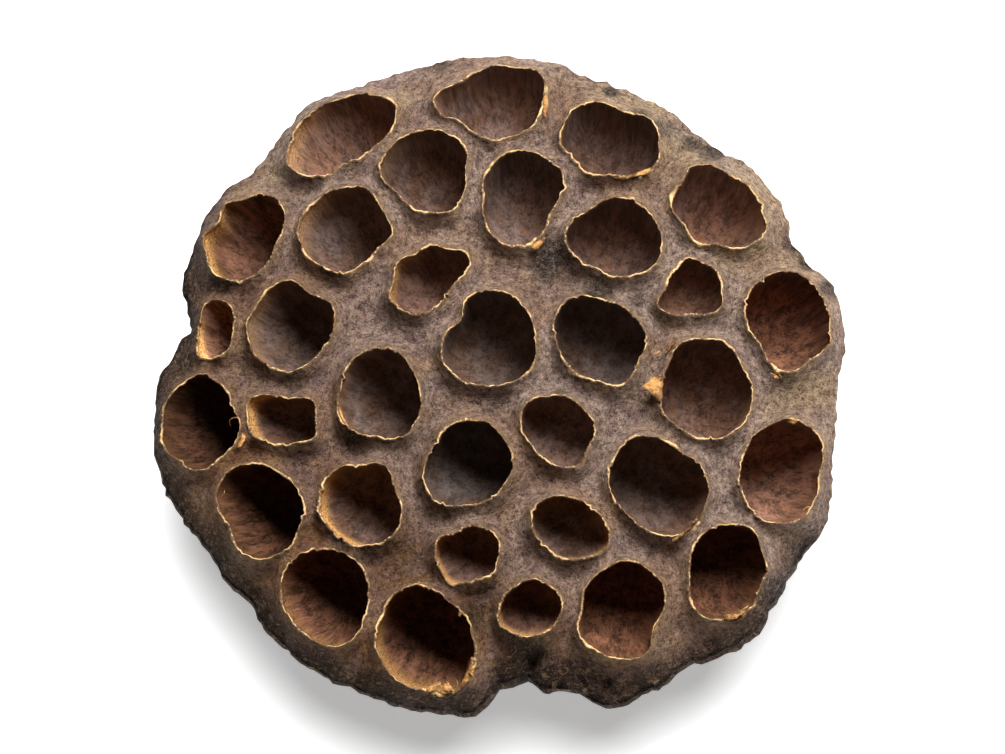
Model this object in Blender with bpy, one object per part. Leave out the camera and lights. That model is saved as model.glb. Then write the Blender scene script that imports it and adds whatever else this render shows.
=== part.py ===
"""Dried lotus pod: a leathery, slightly domed face with 33 open seed cells on a
tapering back that ends in a short stub of stem, cut square. Metres, +Z up, the
face upward, the cut end on z = 0.

The pod grew as one piece, so it is one closed body. The face is triangulated
between its outline and the 33 mouths, each cell wall is extruded ring by ring
from its mouth down to a rounded bottom, and the outer wall is extruded ring by
ring from the outline down the funnel to the flat cut end.
"""

import math

import bmesh
import bpy
from mathutils import Vector
from mathutils.geometry import delaunay_2d_cdt

# ---- driving dimensions, metres unless said otherwise
PLAN_UNIT = 0.0001455  # size of one unit of the plan tables below
PLAN_CENTRE = (498.0, 381.0)  # plan position of the pod's axis
PLAN_STRETCH = 1.02  # the pod is a little longer in Y than the plan table
POD_HEIGHT = 0.056  # from the cut end to the middle of the face
DOME_DROP = 0.0036  # how far the face falls from the middle to the edge
DOME_POWER = 2.4
RIM_RISE = 0.0013  # crest of a mouth above the face round it
RIM_WIDTH = 0.0017
VALLEY_DEPTH = 0.0008  # how far the skin sinks between the mouths
VALLEY_WIDTH = 0.0030
CONVERGE_DEPTH = 0.105  # the cells point at one spot this far under the face
DEPTH_PER_WIDTH = 1.50  # depth of a cell over the width of its mouth
STUB_RADIUS = 0.0062
STUB_HEIGHT = 0.0055
MEAN_RADIUS = 0.049
FURROWS = 11  # broad folds down the back
FURROW_DEPTH = 0.014  # as a part of the radius

MOUTH_POINTS = 16
OUTLINE_POINTS = 66
FACE_GRID = 0.0042  # spacing of the skin points between the mouths
FACE_CLEAR = 0.0013  # least distance of a skin point from a mouth

# how a cell closes toward its bottom: (part of its depth, width left)
CELL_PROFILE = ((0.14, 0.995), (0.42, 0.955), (0.70, 0.80), (0.89, 0.50))
# the outer wall: (part of the height, part of the radius, how lobed it still is)
BACK_PROFILE = (
    (0.045, 1.006, 1.00),
    (0.11, 0.990, 0.90),
    (0.21, 0.935, 0.70),
    (0.33, 0.840, 0.50),
    (0.46, 0.715, 0.34),
    (0.59, 0.570, 0.22),
    (0.71, 0.425, 0.14),
    (0.80, 0.305, 0.08),
    (0.87, 0.205, 0.04),
)

# Each cell: plan centre (x, y, y downward) and twelve reaches from that centre
# to the mouth's edge, every 30 degrees anticlockwise from +X.
CELLS = (
    (342, 137, (43, 61, 48.5, 39, 37, 40.5, 49, 60, 45, 29.5, 25.5, 29.5)),
    (493, 102, (49, 54.5, 39.5, 35, 33, 38, 58, 38, 35, 37, 40, 45)),
    (611, 140, (48.5, 42.5, 31.5, 33, 43.5, 49, 49, 41, 38.5, 35, 41.5, 49.5)),
    (425, 172, (40.5, 46, 44.5, 41.5, 41, 42.5, 44, 34.5, 36, 38.5, 47, 43)),
    (523, 197, (37, 45, 44.5, 46.5, 45, 43, 38.5, 43.5, 49.5, 46.5, 39, 32)),
    (716, 207, (43.5, 39, 35, 39.5, 45, 42.5, 45, 36, 40, 37.5, 46, 54)),
    (243, 238, (35.5, 47.5, 49.5, 37, 37, 29, 40, 41, 44, 41.5, 35.5, 33.5)),
    (343, 231, (48.5, 43.5, 47.5, 42, 41, 41, 43.5, 43, 39.5, 43, 37, 39)),
    (612, 237, (49.5, 45, 41, 39, 34, 39.5, 46, 41, 35, 38, 44, 51)),
    (428, 280, (29.5, 45, 36, 33, 29.5, 34, 34, 42, 37.5, 30.5, 25, 23)),
    (690, 288, (31.5, 30, 28, 29.5, 24, 24, 24, 35.5, 29, 24.5, 30, 35.5)),
    (215, 328, (18.5, 20.5, 26.5, 28, 24, 14.5, 17, 20, 30, 28.5, 25, 20)),
    (291, 327, (42, 44.5, 38, 45.5, 43.5, 39.5, 43.5, 43.5, 43.5, 44, 39, 38.5)),
    (490, 338, (46, 45, 47, 46.5, 44.5, 34, 45, 50.5, 50, 47.5, 49.5, 50)),
    (599, 340, (47, 43, 39.5, 41, 49.5, 49, 43, 40, 39, 42, 50, 44)),
    (789, 322, (40.5, 40, 45, 49, 50.5, 49, 42, 36.5, 42, 49, 43.5, 45)),
    (378, 393, (41, 40, 45, 44.5, 41, 38, 38.5, 44, 44.5, 43.5, 50, 45.5)),
    (705, 388, (45.5, 42.5, 49, 49, 50.5, 43, 43.5, 47.5, 46.5, 50.5, 52.5, 50)),
    (201, 422, (38.5, 35.5, 40.5, 47, 41.5, 39, 38.5, 43, 44.5, 48, 40.5, 38.5)),
    (282, 419, (33.5, 35, 23.5, 21.5, 27, 37, 34, 31, 26.5, 23.5, 28, 36)),
    (558, 430, (36, 33.5, 33, 33, 38, 39.5, 35, 30, 31, 35.5, 39.5, 34.5)),
    (781, 471, (38, 47.5, 52.5, 50.5, 44.5, 40.5, 41, 44, 49.5, 52.5, 49, 41.5)),
    (467, 462, (45, 43, 43.5, 41, 39.5, 35, 41, 48, 49.5, 41.5, 43, 44)),
    (660, 486, (49, 44, 39, 46.5, 54, 54, 50, 43, 43.5, 48.5, 52, 48.5)),
    (258, 511, (44.5, 45, 43, 46.5, 48.5, 45.5, 38.5, 32, 39.5, 48.5, 48.5, 44.5)),
    (360, 505, (39.5, 38.5, 45, 37.5, 41, 42, 39.5, 38.5, 39.5, 39.5, 43, 44)),
    (568, 527, (37.5, 32, 28.5, 29, 34.5, 37.5, 36, 30, 29.5, 32, 35.5, 43)),
    (726, 572, (38.5, 41.5, 49, 47, 43, 38.5, 36, 41, 50, 46, 42, 36)),
    (467, 556, (31.5, 34.5, 32.5, 28.5, 25, 33.5, 30, 30.5, 32, 26, 26.5, 31)),
    (324, 598, (43.5, 46.5, 49, 48.5, 48.5, 46.5, 42.5, 39.5, 40, 46.5, 50.5, 45.5)),
    (530, 607, (32, 29.5, 27.5, 26.5, 24.5, 26, 29.5, 34.5, 30.5, 28.5, 28, 30.5)),
    (622, 610, (41, 46.5, 47, 48.5, 42, 42, 39, 48, 47, 48, 49, 35.5)),
    (427, 638, (46, 43.5, 42.5, 51, 54.5, 50, 50.5, 50.5, 51.5, 51, 60, 53)),
)

# the outline in plan units, clockwise from the top
OUTLINE = (
    (495, 54), (550, 60), (595, 77), (650, 102), (692, 130), (722, 151),
    (750, 167), (775, 200), (783, 230), (804, 260), (823, 275), (836, 305),
    (840, 340), (836, 365), (833, 386), (836, 410), (832, 450), (826, 500),
    (821, 524), (796, 560), (776, 595), (754, 630), (706, 664), (652, 692),
    (596, 702), (548, 698), (520, 691), (500, 695), (474, 709), (415, 707),
    (381, 697), (350, 681), (320, 668), (294, 652), (272, 632), (255, 608),
    (230, 584), (209, 557), (195, 534), (179, 512), (164, 489), (156, 470),
    (153, 429), (155, 380), (174, 345), (192, 331), (183, 304), (180, 275),
    (190, 245), (199, 212), (220, 186), (252, 160), (276, 132), (302, 107),
    (345, 88), (395, 72), (450, 57),
)


def on_plan(x, y):
    """Plan position in metres from a position in plan units."""
    return Vector(
        (
            (x - PLAN_CENTRE[0]) * PLAN_UNIT,
            (PLAN_CENTRE[1] - y) * PLAN_UNIT * PLAN_STRETCH,
        )
    )


def smooth_between(before, left, right, after, part):
    """Catmull-Rom value between left and right."""
    return 0.5 * (
        2 * left
        + (right - before) * part
        + (2 * before - 5 * left + 4 * right - after) * part**2
        + (3 * left - before - 3 * right + after) * part**3
    )


def reach_at(reaches, turn):
    """Reach of a mouth at an angle given in parts of a full turn."""
    place = (turn % 1.0) * len(reaches)
    first = int(place)
    around = [reaches[(first + step) % len(reaches)] for step in (-1, 0, 1, 2)]
    return smooth_between(*around, place - first)


def mouth_loop(cell, count):
    x, y, reaches = cell
    loop = []
    for step in range(count):
        turn = step / count
        reach = reach_at(reaches, turn)
        angle = 2 * math.pi * turn
        loop.append(on_plan(x + reach * math.cos(angle), y - reach * math.sin(angle)))
    return loop


def outline_radius():
    """Radius of the outline against angle, as a sorted list of (angle, radius)."""
    spots = []
    for x, y in OUTLINE:
        spot = on_plan(x, y)
        spots.append((math.atan2(spot.y, spot.x) % (2 * math.pi), spot.length))
    return sorted(spots)


def radius_at(spots, angle):
    angle %= 2 * math.pi
    count = len(spots)
    after = next((i for i, spot in enumerate(spots) if spot[0] > angle), 0)
    left, right = spots[after - 1], spots[after]
    span = (right[0] - left[0]) % (2 * math.pi)
    part = ((angle - left[0]) % (2 * math.pi)) / span
    return smooth_between(
        spots[after - 2][1], left[1], right[1], spots[(after + 1) % count][1], part
    )


def distance_to_loop(spot, loop):
    least = 1.0
    for i, end in enumerate(loop):
        start = loop[i - 1]
        along = end - start
        part = max(0.0, min(1.0, (spot - start).dot(along) / along.length_squared))
        least = min(least, (spot - start - along * part).length)
    return least


def inside_loop(spot, loop):
    inside = False
    for i, end in enumerate(loop):
        start = loop[i - 1]
        if (start.y > spot.y) != (end.y > spot.y):
            cross = start.x + (spot.y - start.y) / (end.y - start.y) * (end.x - start.x)
            inside ^= spot.x < cross
    return inside


def dome(spot):
    return POD_HEIGHT - DOME_DROP * (spot.length / MEAN_RADIUS) ** DOME_POWER


def skin_height(spot, mouths):
    """Height of the skin: raised round the mouths, sunk between them."""
    gap = min(distance_to_loop(spot, mouth) for mouth in mouths)
    rise = RIM_RISE * math.exp(-gap / RIM_WIDTH)
    return dome(spot) + rise - VALLEY_DEPTH * (1 - math.exp(-gap / VALLEY_WIDTH))


def skin_points(outline, mouths):
    """A staggered grid of points on the skin, clear of every mouth and the outline."""
    points = []
    rows = int(2 * MEAN_RADIUS * 1.1 / (FACE_GRID * 0.866))
    for row in range(rows):
        y = -MEAN_RADIUS * 1.1 + row * FACE_GRID * 0.866
        for column in range(int(2.2 * MEAN_RADIUS / FACE_GRID) + 1):
            x = -MEAN_RADIUS * 1.1 + (column + 0.5 * (row % 2)) * FACE_GRID
            spot = Vector((x, y))
            if not inside_loop(spot, outline):
                continue
            if distance_to_loop(spot, outline) < FACE_CLEAR:
                continue
            if any(inside_loop(spot, mouth) for mouth in mouths):
                continue
            if min(distance_to_loop(spot, mouth) for mouth in mouths) < FACE_CLEAR:
                continue
            points.append(spot)
    return points


def extrude_ring(body, ring, places):
    """Extrudes a closed ring of edges and moves the new ring to the given places."""
    edges = []
    for i, vert in enumerate(ring):
        other = ring[i - 1]
        edges.append(next(e for e in vert.link_edges if e.other_vert(vert) is other))
    made = bmesh.ops.extrude_edge_only(body, edges=edges)["geom"]
    fresh = {v for v in made if isinstance(v, bmesh.types.BMVert)}
    after = []
    for vert in ring:
        after.append(
            next(
                e.other_vert(vert)
                for e in vert.link_edges
                if e.other_vert(vert) in fresh and e.other_vert(vert) not in ring
            )
        )
    for vert, place in zip(after, places):
        vert.co = place
    return after


def build_cell(body, ring, cell):
    """Extrudes one cell from its mouth to its rounded bottom."""
    x, y, reaches = cell
    centre = on_plan(x, y)
    width = 2 * PLAN_UNIT * sum(reaches) / len(reaches)
    depth = DEPTH_PER_WIDTH * width
    top = sum((vert.co for vert in ring), Vector()) / len(ring)
    axis = Vector((0, 0, POD_HEIGHT - CONVERGE_DEPTH)) - Vector((*centre, top.z))
    axis /= -axis.z
    start = [vert.co - top for vert in ring]
    round_width = sum(Vector((s.x, s.y)).length for s in start) / len(start)
    for part, left in CELL_PROFILE:
        down = depth * part
        narrow = left * (1 - down / CONVERGE_DEPTH)
        places = []
        for offset in start:
            flat = Vector((offset.x, offset.y))
            even = flat.normalized() * round_width
            flat = flat.lerp(even, 0.75 * part) * narrow
            tilt = offset.z * (1 - part)
            places.append(top + axis * down + Vector((flat.x, flat.y, tilt)))
        ring = extrude_ring(body, ring, places)
    bottom = top + axis * depth
    ring = extrude_ring(body, ring, [bottom] * len(ring))
    bmesh.ops.pointmerge(body, verts=ring, merge_co=bottom)


def build_back(body, ring, spots):
    """Extrudes the outer wall from the outline down to the flat cut end."""
    angles = [math.atan2(vert.co.y, vert.co.x) for vert in ring]
    edge = sum(vert.co.z for vert in ring) / len(ring)
    for part, size, lobed in BACK_PROFILE:
        places = []
        for vert, angle in zip(ring, angles):
            own = radius_at(spots, angle) / MEAN_RADIUS
            fold = 1 + FURROW_DEPTH * math.sin(math.pi * part) * math.sin(
                FURROWS * angle + 2.2 * math.sin(2 * angle)
            )
            radius = MEAN_RADIUS * size * (1 + (own - 1) * lobed) * fold
            places.append(
                (radius * math.cos(angle), radius * math.sin(angle), edge * (1 - part))
            )
        ring = extrude_ring(body, ring, places)
    for radius, height in ((1.08, STUB_HEIGHT), (1.0, 0.4 * STUB_HEIGHT), (1.0, 0.0)):
        size = STUB_RADIUS * radius
        ring = extrude_ring(
            body,
            ring,
            [(size * math.cos(a), size * math.sin(a), height) for a in angles],
        )
    body.faces.new(ring)


def build_pod():
    mouths = [mouth_loop(cell, MOUTH_POINTS) for cell in CELLS]
    spots = outline_radius()
    outline = []
    for step in range(OUTLINE_POINTS):
        angle = 2 * math.pi * step / OUTLINE_POINTS
        radius = radius_at(spots, angle)
        outline.append(Vector((radius * math.cos(angle), radius * math.sin(angle))))

    points, edges, loops = [], [], []
    for loop in [outline, *mouths]:
        first = len(points)
        count = len(loop)
        loops.append(range(first, first + count))
        edges += [(first + i, first + (i + 1) % count) for i in range(count)]
        points += loop
    points += skin_points(outline, mouths)
    flat, _, triangles, origins, _, _ = delaunay_2d_cdt(points, edges, [], 0, 1e-7)

    body = bmesh.new()
    verts = {}
    for index, spot in enumerate(flat):
        height = skin_height(spot, mouths)
        vert = body.verts.new((spot.x, spot.y, height))
        for origin in origins[index]:
            verts[origin] = vert
        verts[("flat", index)] = vert
    for triangle in triangles:
        middle = sum((flat[i] for i in triangle), Vector((0, 0))) / 3
        if not inside_loop(middle, outline):
            continue
        if any(inside_loop(middle, mouth) for mouth in mouths):
            continue
        body.faces.new([verts[("flat", i)] for i in triangle])
    loose = [vert for vert in body.verts if not vert.link_faces]
    bmesh.ops.delete(body, geom=loose, context="VERTS")

    for cell, loop in zip(CELLS, loops[1:]):
        build_cell(body, [verts[i] for i in loop], cell)
    build_back(body, [verts[i] for i in loops[0]], spots)
    bmesh.ops.recalc_face_normals(body, faces=body.faces)
    bmesh.ops.triangulate(body, faces=[f for f in body.faces if len(f.verts) > 4])

    mesh = bpy.data.meshes.new("lotus_pod")
    body.to_mesh(mesh)
    body.free()
    for face in mesh.polygons:
        face.use_smooth = True
    pod = bpy.data.objects.new("lotus_pod", mesh)
    bpy.context.scene.collection.objects.link(pod)

    skin = bpy.data.materials.new("dried_pod_skin")
    skin.use_nodes = True
    shader = skin.node_tree.nodes["Principled BSDF"]
    shader.inputs["Base Color"].default_value = (0.145, 0.100, 0.078, 1.0)
    shader.inputs["Roughness"].default_value = 0.82
    mesh.materials.append(skin)


for old in list(bpy.data.objects):
    bpy.data.objects.remove(old)
build_pod()
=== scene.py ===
import math

import bmesh
import bpy
import numpy as np
from mathutils import Matrix, Vector, noise
from mathutils.geometry import delaunay_2d_cdt


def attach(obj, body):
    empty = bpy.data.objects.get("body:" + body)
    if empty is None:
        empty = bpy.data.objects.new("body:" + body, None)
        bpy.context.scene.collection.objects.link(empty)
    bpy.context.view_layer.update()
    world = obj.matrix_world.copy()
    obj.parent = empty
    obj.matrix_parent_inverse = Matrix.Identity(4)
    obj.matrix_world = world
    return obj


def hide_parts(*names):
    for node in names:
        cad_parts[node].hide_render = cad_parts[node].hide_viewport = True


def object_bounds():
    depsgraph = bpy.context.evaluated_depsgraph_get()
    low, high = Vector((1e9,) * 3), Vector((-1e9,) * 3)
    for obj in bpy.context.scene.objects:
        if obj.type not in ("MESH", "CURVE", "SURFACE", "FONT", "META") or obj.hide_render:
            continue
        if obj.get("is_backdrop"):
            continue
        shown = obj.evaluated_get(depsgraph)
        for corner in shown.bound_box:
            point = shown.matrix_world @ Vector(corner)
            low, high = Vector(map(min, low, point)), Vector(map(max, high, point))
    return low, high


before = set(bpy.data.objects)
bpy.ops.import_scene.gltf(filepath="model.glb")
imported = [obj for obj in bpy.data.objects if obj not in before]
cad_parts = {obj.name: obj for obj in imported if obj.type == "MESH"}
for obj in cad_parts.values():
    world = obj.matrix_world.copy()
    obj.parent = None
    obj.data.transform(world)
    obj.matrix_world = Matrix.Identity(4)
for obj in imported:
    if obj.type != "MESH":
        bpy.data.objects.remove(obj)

cad_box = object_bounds()

# ------------------------------------------------------------------ dimensions
PLAN_UNIT = 0.0001455
POD_HEIGHT = 0.056
DOME_DROP = 0.0036
DOME_POWER = 2.4
RIM_RISE = 0.0033
RIM_WIDTH = 0.0012
VALLEY_DEPTH = 0.0020
VALLEY_WIDTH = 0.0022
CONVERGE_DEPTH = 0.150
DEPTH_PER_WIDTH = 1.22
STUB_RADIUS = 0.0062
STUB_HEIGHT = 0.0055
MEAN_RADIUS = 0.049
FURROWS = 11
FURROW_DEPTH = 0.014

MOUTH_POINTS = 168
CELL_POINTS = 84
OUTLINE_POINTS = 384
SKIN_GRID = 0.00050
LIP_THICK = 0.00017
LIP_TALL = 0.00070
LIP_FOOT = 0.00020
ROLL_DROP = 0.0018
ROLL_WIDTH = 0.0034

VIEW_BACK = np.array([0.068, -0.137, 1.0]) / np.linalg.norm([0.068, -0.137, 1.0])
VIEW_DISTANCE = 1.1
VIEW_MIDDLE = (502.5, 377.0)
VIEW_TARGET = np.array([0.00065, 0.00059, POD_HEIGHT])

CELL_DEPTHS = (0.0, 0.14, 0.42, 0.70, 0.89, 1.0)
CELL_WIDTHS = (1.0, 1.03, 1.01, 0.82, 0.51, 0.0)
BACK_PARTS = (0.0, 0.045, 0.11, 0.21, 0.33, 0.46, 0.59, 0.71, 0.80, 0.87, 0.91)
BACK_SIZES = (1.0, 1.006, 0.990, 0.935, 0.840, 0.715, 0.570, 0.425, 0.305, 0.205, 0.150)
BACK_LOBES = (1.0, 1.0, 0.9, 0.7, 0.5, 0.34, 0.22, 0.14, 0.08, 0.04, 0.0)

# each cell: centre of its mouth, twelve reaches to the mouth's edge (every 30 degrees,
# anticlockwise from +X), how red its lining is, how strong its ochre patch is (partly the lining's own
# colour, partly painted light), which side that patch is on (where the key light reaches the inner wall), and
# its lining's painted light level (above 1 painted lighter, below 1 painted darker)
CELLS = (
    (342, 137, (43, 61, 48.5, 39, 37, 40.5, 49, 60, 45, 29.5, 25.5, 29.5), 0.35, 0.3, 225, 1.3),
    (493, 102, (49, 54.5, 39.5, 35, 33, 38, 58, 38, 35, 37, 40, 45), 0.20, 0, 270, 1.35),
    (611, 140, (48.5, 42.5, 31.5, 33, 43.5, 49, 49, 41, 38.5, 35, 41.5, 49.5), 0.2, 0, 270, 1.1),
    (425, 172, (40.5, 46, 44.5, 41.5, 41, 42.5, 44, 34.5, 36, 38.5, 47, 43), 0.25, 0.15, 200, 0.95),
    (523, 197, (37, 45, 44.5, 46.5, 45, 43, 38.5, 43.5, 49.5, 46.5, 39, 32), 0.2, 0, 270, 1),
    (716, 207, (43.5, 39, 35, 39.5, 45, 42.5, 45, 36, 40, 37.5, 46, 54), 0.26, 0.1, 300, 1.52),
    (243, 238, (35.5, 47.5, 49.5, 37, 37, 29, 40, 41, 44, 41.5, 35.5, 33.5), 0.7, 0.7, 215, 0.75),
    (343, 231, (48.5, 43.5, 47.5, 42, 41, 41, 43.5, 43, 39.5, 43, 37, 39), 0.15, 0.3, 185, 1),
    (612, 237, (49.5, 45, 41, 39, 34, 39.5, 46, 41, 35, 38, 44, 51), 0.3, 0, 270, 1),
    (428, 280, (29.5, 45, 36, 33, 29.5, 34, 34, 42, 37.5, 30.5, 25, 23), 0.4, 0.45, 205, 0.9),
    (690, 288, (31.5, 30, 28, 29.5, 24, 24, 24, 35.5, 29, 24.5, 30, 35.5), 0.4, 0.1, 200, 1),
    (215, 328, (18.5, 20.5, 26.5, 28, 24, 14.5, 17, 20, 30, 28.5, 25, 20), 0.6, 1, 255, 1.08),
    (291, 327, (42, 44.5, 38, 45.5, 43.5, 39.5, 43.5, 43.5, 43.5, 44, 39, 38.5), 0.15, 0.25, 190, 0.85),
    (490, 338, (46, 45, 47, 46.5, 44.5, 34, 45, 50.5, 50, 47.5, 49.5, 50), 0.1, 0, 270, 0.9),
    (599, 340, (47, 43, 39.5, 41, 49.5, 49, 43, 40, 39, 42, 50, 44), 0.1, 0, 270, 0.75),
    (789, 322, (40.5, 40, 45, 49, 50.5, 49, 42, 36.5, 42, 49, 43.5, 45), 0.8, 0, 270, 0.9),
    (378, 393, (41, 40, 45, 44.5, 41, 38, 38.5, 44, 44.5, 43.5, 50, 45.5), 0.15, 0.15, 215, 0.95),
    (705, 388, (45.5, 42.5, 49, 49, 50.5, 43, 43.5, 47.5, 46.5, 50.5, 52.5, 50), 0.35, 0.15, 300, 0.95),
    (201, 422, (38.5, 35.5, 40.5, 47, 41.5, 39, 38.5, 43, 44.5, 48, 40.5, 38.5), 0.85, 0.15, 215, 0.36),
    (282, 419, (33.5, 35, 23.5, 21.5, 27, 37, 34, 31, 26.5, 23.5, 28, 36), 0.3, 0.8, 215, 0.8),
    (558, 430, (36, 33.5, 33, 33, 38, 39.5, 35, 30, 31, 35.5, 39.5, 34.5), 0.25, 0.15, 230, 1),
    (781, 471, (38, 47.5, 52.5, 50.5, 44.5, 40.5, 41, 44, 49.5, 52.5, 49, 41.5), 0.60, 0.05, 300, 1.15),
    (467, 462, (45, 43, 43.5, 41, 39.5, 35, 41, 48, 49.5, 41.5, 43, 44), 0, 0.05, 215, 0.66),
    (660, 486, (49, 44, 39, 46.5, 54, 54, 50, 43, 43.5, 48.5, 52, 48.5), 0.2, 0.15, 285, 0.9),
    (258, 511, (44.5, 45, 43, 46.5, 48.5, 45.5, 38.5, 32, 39.5, 48.5, 48.5, 44.5), 0.85, 0.12, 175, 0.52),
    (360, 505, (39.5, 38.5, 45, 37.5, 41, 42, 39.5, 38.5, 39.5, 39.5, 43, 44), 0.3, 1.3, 245, 0.9),
    (568, 527, (37.5, 32, 28.5, 29, 34.5, 37.5, 36, 30, 29.5, 32, 35.5, 43), 0.3, 0.65, 275, 0.85),
    (726, 572, (38.5, 41.5, 49, 47, 43, 38.5, 36, 41, 50, 46, 42, 36), 0.9, 0.15, 280, 0.58),
    (467, 556, (31.5, 34.5, 32.5, 28.5, 25, 33.5, 30, 30.5, 32, 26, 26.5, 31), 0.4, 0.8, 260, 0.8),
    (324, 598, (43.5, 46.5, 49, 48.5, 48.5, 46.5, 42.5, 39.5, 40, 46.5, 50.5, 45.5), 0.85, 0.2, 235, 0.72),
    (530, 607, (32, 29.5, 27.5, 26.5, 24.5, 26, 29.5, 34.5, 30.5, 28.5, 28, 30.5), 0.5, 0.65, 270, 0.8),
    (622, 610, (41, 46.5, 47, 48.5, 42, 42, 39, 48, 47, 48, 49, 35.5), 0.9, 0.1, 220, 0.8),
    (427, 638, (46, 43.5, 42.5, 51, 54.5, 50, 50.5, 50.5, 51.5, 51, 60, 53), 0.8, 0.6, 225, 0.66),
)

OUTLINE = (
    (495, 54), (550, 60), (595, 77), (640, 95), (655, 101), (668, 109), (680, 118), (692, 130),
    (702, 135), (712, 143), (722, 152), (734, 154), (742, 159), (752, 169), (762, 178),
    (770, 191), (778, 200), (781, 210), (786, 223), (785, 232), (790, 242), (799, 250),
    (805, 261), (812, 266), (821, 273), (828, 280), (833, 290), (837, 302), (841, 330),
    (842, 344), (839, 358), (834, 382), (834, 400), (832, 450), (826, 500), (821, 524),
    (796, 560), (776, 595), (754, 630), (740, 641), (725, 649), (712, 653), (700, 657),
    (687, 661), (677, 667), (667, 676), (657, 684), (645, 689), (635, 695), (620, 702),
    (600, 702), (592, 699), (585, 694), (575, 688), (562, 686), (550, 686), (537, 684),
    (530, 677), (526, 670), (521, 674), (515, 677), (507, 679), (497, 680), (492, 684),
    (489, 694), (480, 704), (470, 711), (430, 709), (415, 707), (381, 697), (350, 684),
    (335, 680), (325, 674), (301, 660), (292, 652), (281, 643), (269, 631), (257, 617),
    (250, 600), (231, 584), (219, 570), (210, 554), (200, 540), (190, 527), (181, 514),
    (171, 498), (165, 488), (160, 468), (155, 454), (154, 430), (155, 400), (157, 382),
    (161, 370), (168, 360), (174, 350), (178, 340), (185, 333), (194, 331), (193, 329),
    (188, 316), (185, 300), (181, 288), (181, 274), (186, 262), (190, 252), (195, 242),
    (199, 230), (205, 216), (211, 205), (220, 193), (229, 184), (239, 178), (250, 170),
    (261, 161), (267, 150), (276, 137), (285, 128), (302, 107), (345, 88), (395, 72),
    (450, 57),
)


# patches on the skin, and broader stretches of lip: place, size, strength. The first table makes the skin
# lighter tan; its first three, broad patches make the upper right lighter.
TAN = (
    (655, 125, 60, 0.30), (735, 200, 60, 0.30), (790, 280, 40, 0.25),
    (402, 102, 14, 0.9), (272, 172, 18, 0.8), (236, 190, 14, 0.6), (545, 95, 10, 0.6),
    (640, 100, 26, 0.5), (600, 82, 22, 0.5), (560, 74, 16, 0.4), (690, 152, 18, 0.6), (667, 146, 15, 0.6), (655, 118, 16, 0.4),
    (748, 178, 20, 0.6), (776, 205, 16, 0.6), (745, 248, 22, 0.7), (722, 262, 16, 0.6),
    (800, 268, 18, 0.5), (833, 300, 10, 0.6), (826, 385, 22, 0.7), (800, 392, 24, 0.9),
    (770, 408, 16, 0.5), (828, 440, 12, 0.6), (818, 500, 12, 0.3), (660, 268, 14, 0.3),
    (672, 330, 14, 0.4), (648, 392, 14, 0.5), (655, 440, 16, 0.3), (600, 460, 18, 0.2),
    (700, 520, 18, 0.2), (788, 540, 14, 0.3), (765, 600, 12, 0.3), (655, 640, 22, 0.5),
    (600, 655, 18, 0.4), (545, 640, 16, 0.4), (488, 620, 14, 0.6), (482, 660, 12, 0.5),
    (512, 520, 10, 0.4), (480, 505, 14, 0.3), (440, 520, 12, 0.3), (410, 560, 20, 0.2),
    (170, 460, 16, 0.4), (200, 500, 18, 0.5), (240, 565, 20, 0.5), (280, 640, 20, 0.4),
    (340, 668, 18, 0.4), (180, 372, 14, 0.4), (246, 350, 10, 0.3), (380, 200, 14, 0.3),
)
# reddish-brown patches of the skin's own colour; along the left and lower side they are also painted shade,
# deepening the side away from the key light
WARM_AND_SHADE = (
    (215, 180, 40, 0.5), (250, 290, 30, 0.4), (190, 300, 30, 0.5), (170, 380, 40, 0.6),
    (240, 460, 40, 0.6), (190, 520, 40, 0.7), (310, 540, 30, 0.6), (270, 620, 50, 0.8),
    (400, 560, 40, 0.6), (350, 690, 60, 0.7), (480, 620, 40, 0.7), (540, 650, 50, 0.6),
    (640, 660, 50, 0.6), (740, 620, 40, 0.5), (330, 470, 30, 0.4), (410, 130, 30, 0.4),
    (560, 100, 30, 0.4), (470, 140, 30, 0.3), (830, 470, 30, 0.4), (800, 400, 30, 0.4),
    (300, 290, 30, 0.3), (640, 400, 40, 0.2), (555, 470, 30, 0.15), (600, 170, 30, 0.2),
)
# deep-toned patches: the small ones are the skin's own blackish and blue-grey patches; the broad ones at the
# left, those along the lower-left edge and those in the dent at the bottom notch are painted shade
DARK_AND_SHADE = (
    (165, 400, 50, 0.25), (195, 290, 50, 0.25), (230, 560, 60, 0.10), (480, 610, 40, 0.30),
    (620, 690, 50, 0.05), (560, 270, 40, 0.20), (770, 620, 40, 0.25), (410, 560, 30, 0.25),
    (330, 112, 12, 0.5), (440, 62, 14, 0.4), (610, 90, 8, 0.7), (640, 118, 12, 0.6),
    (664, 128, 11, 0.5), (690, 140, 11, 0.45), (557, 138, 13, 0.28), (712, 152, 12, 0.6), (592, 72, 10, 0.5),
    (792, 240, 12, 0.6), (806, 262, 10, 0.6), (828, 288, 10, 0.7), (560, 250, 22, 0.4),
    (600, 292, 16, 0.5), (545, 262, 14, 0.4), (495, 400, 20, 0.35), (430, 440, 18, 0.3),
    (355, 440, 16, 0.6), (330, 270, 16, 0.4), (222, 284, 12, 0.5), (295, 380, 14, 0.5),
    (186, 360, 16, 0.5), (470, 620, 10, 0.3), (520, 640, 14, 0.7), (540, 665, 20, 0.8),
    (515, 680, 18, 0.9), (600, 690, 22, 0.5), (580, 670, 16, 0.5), (660, 690, 22, 0.55),
    (720, 660, 20, 0.7), (778, 600, 16, 0.7), (806, 552, 16, 0.6), (690, 500, 10, 0.2),
    (160, 500, 18, 0.6), (200, 560, 22, 0.7), (250, 625, 24, 0.7), (310, 672, 24, 0.7),
    (380, 705, 26, 0.7), (450, 712, 26, 0.7), (345, 545, 12, 0.5), (368, 555, 12, 0.5),
    (165, 430, 10, 0.4), (185, 280, 12, 0.4), (560, 395, 12, 0.3), (640, 300, 14, 0.3),
)
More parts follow.
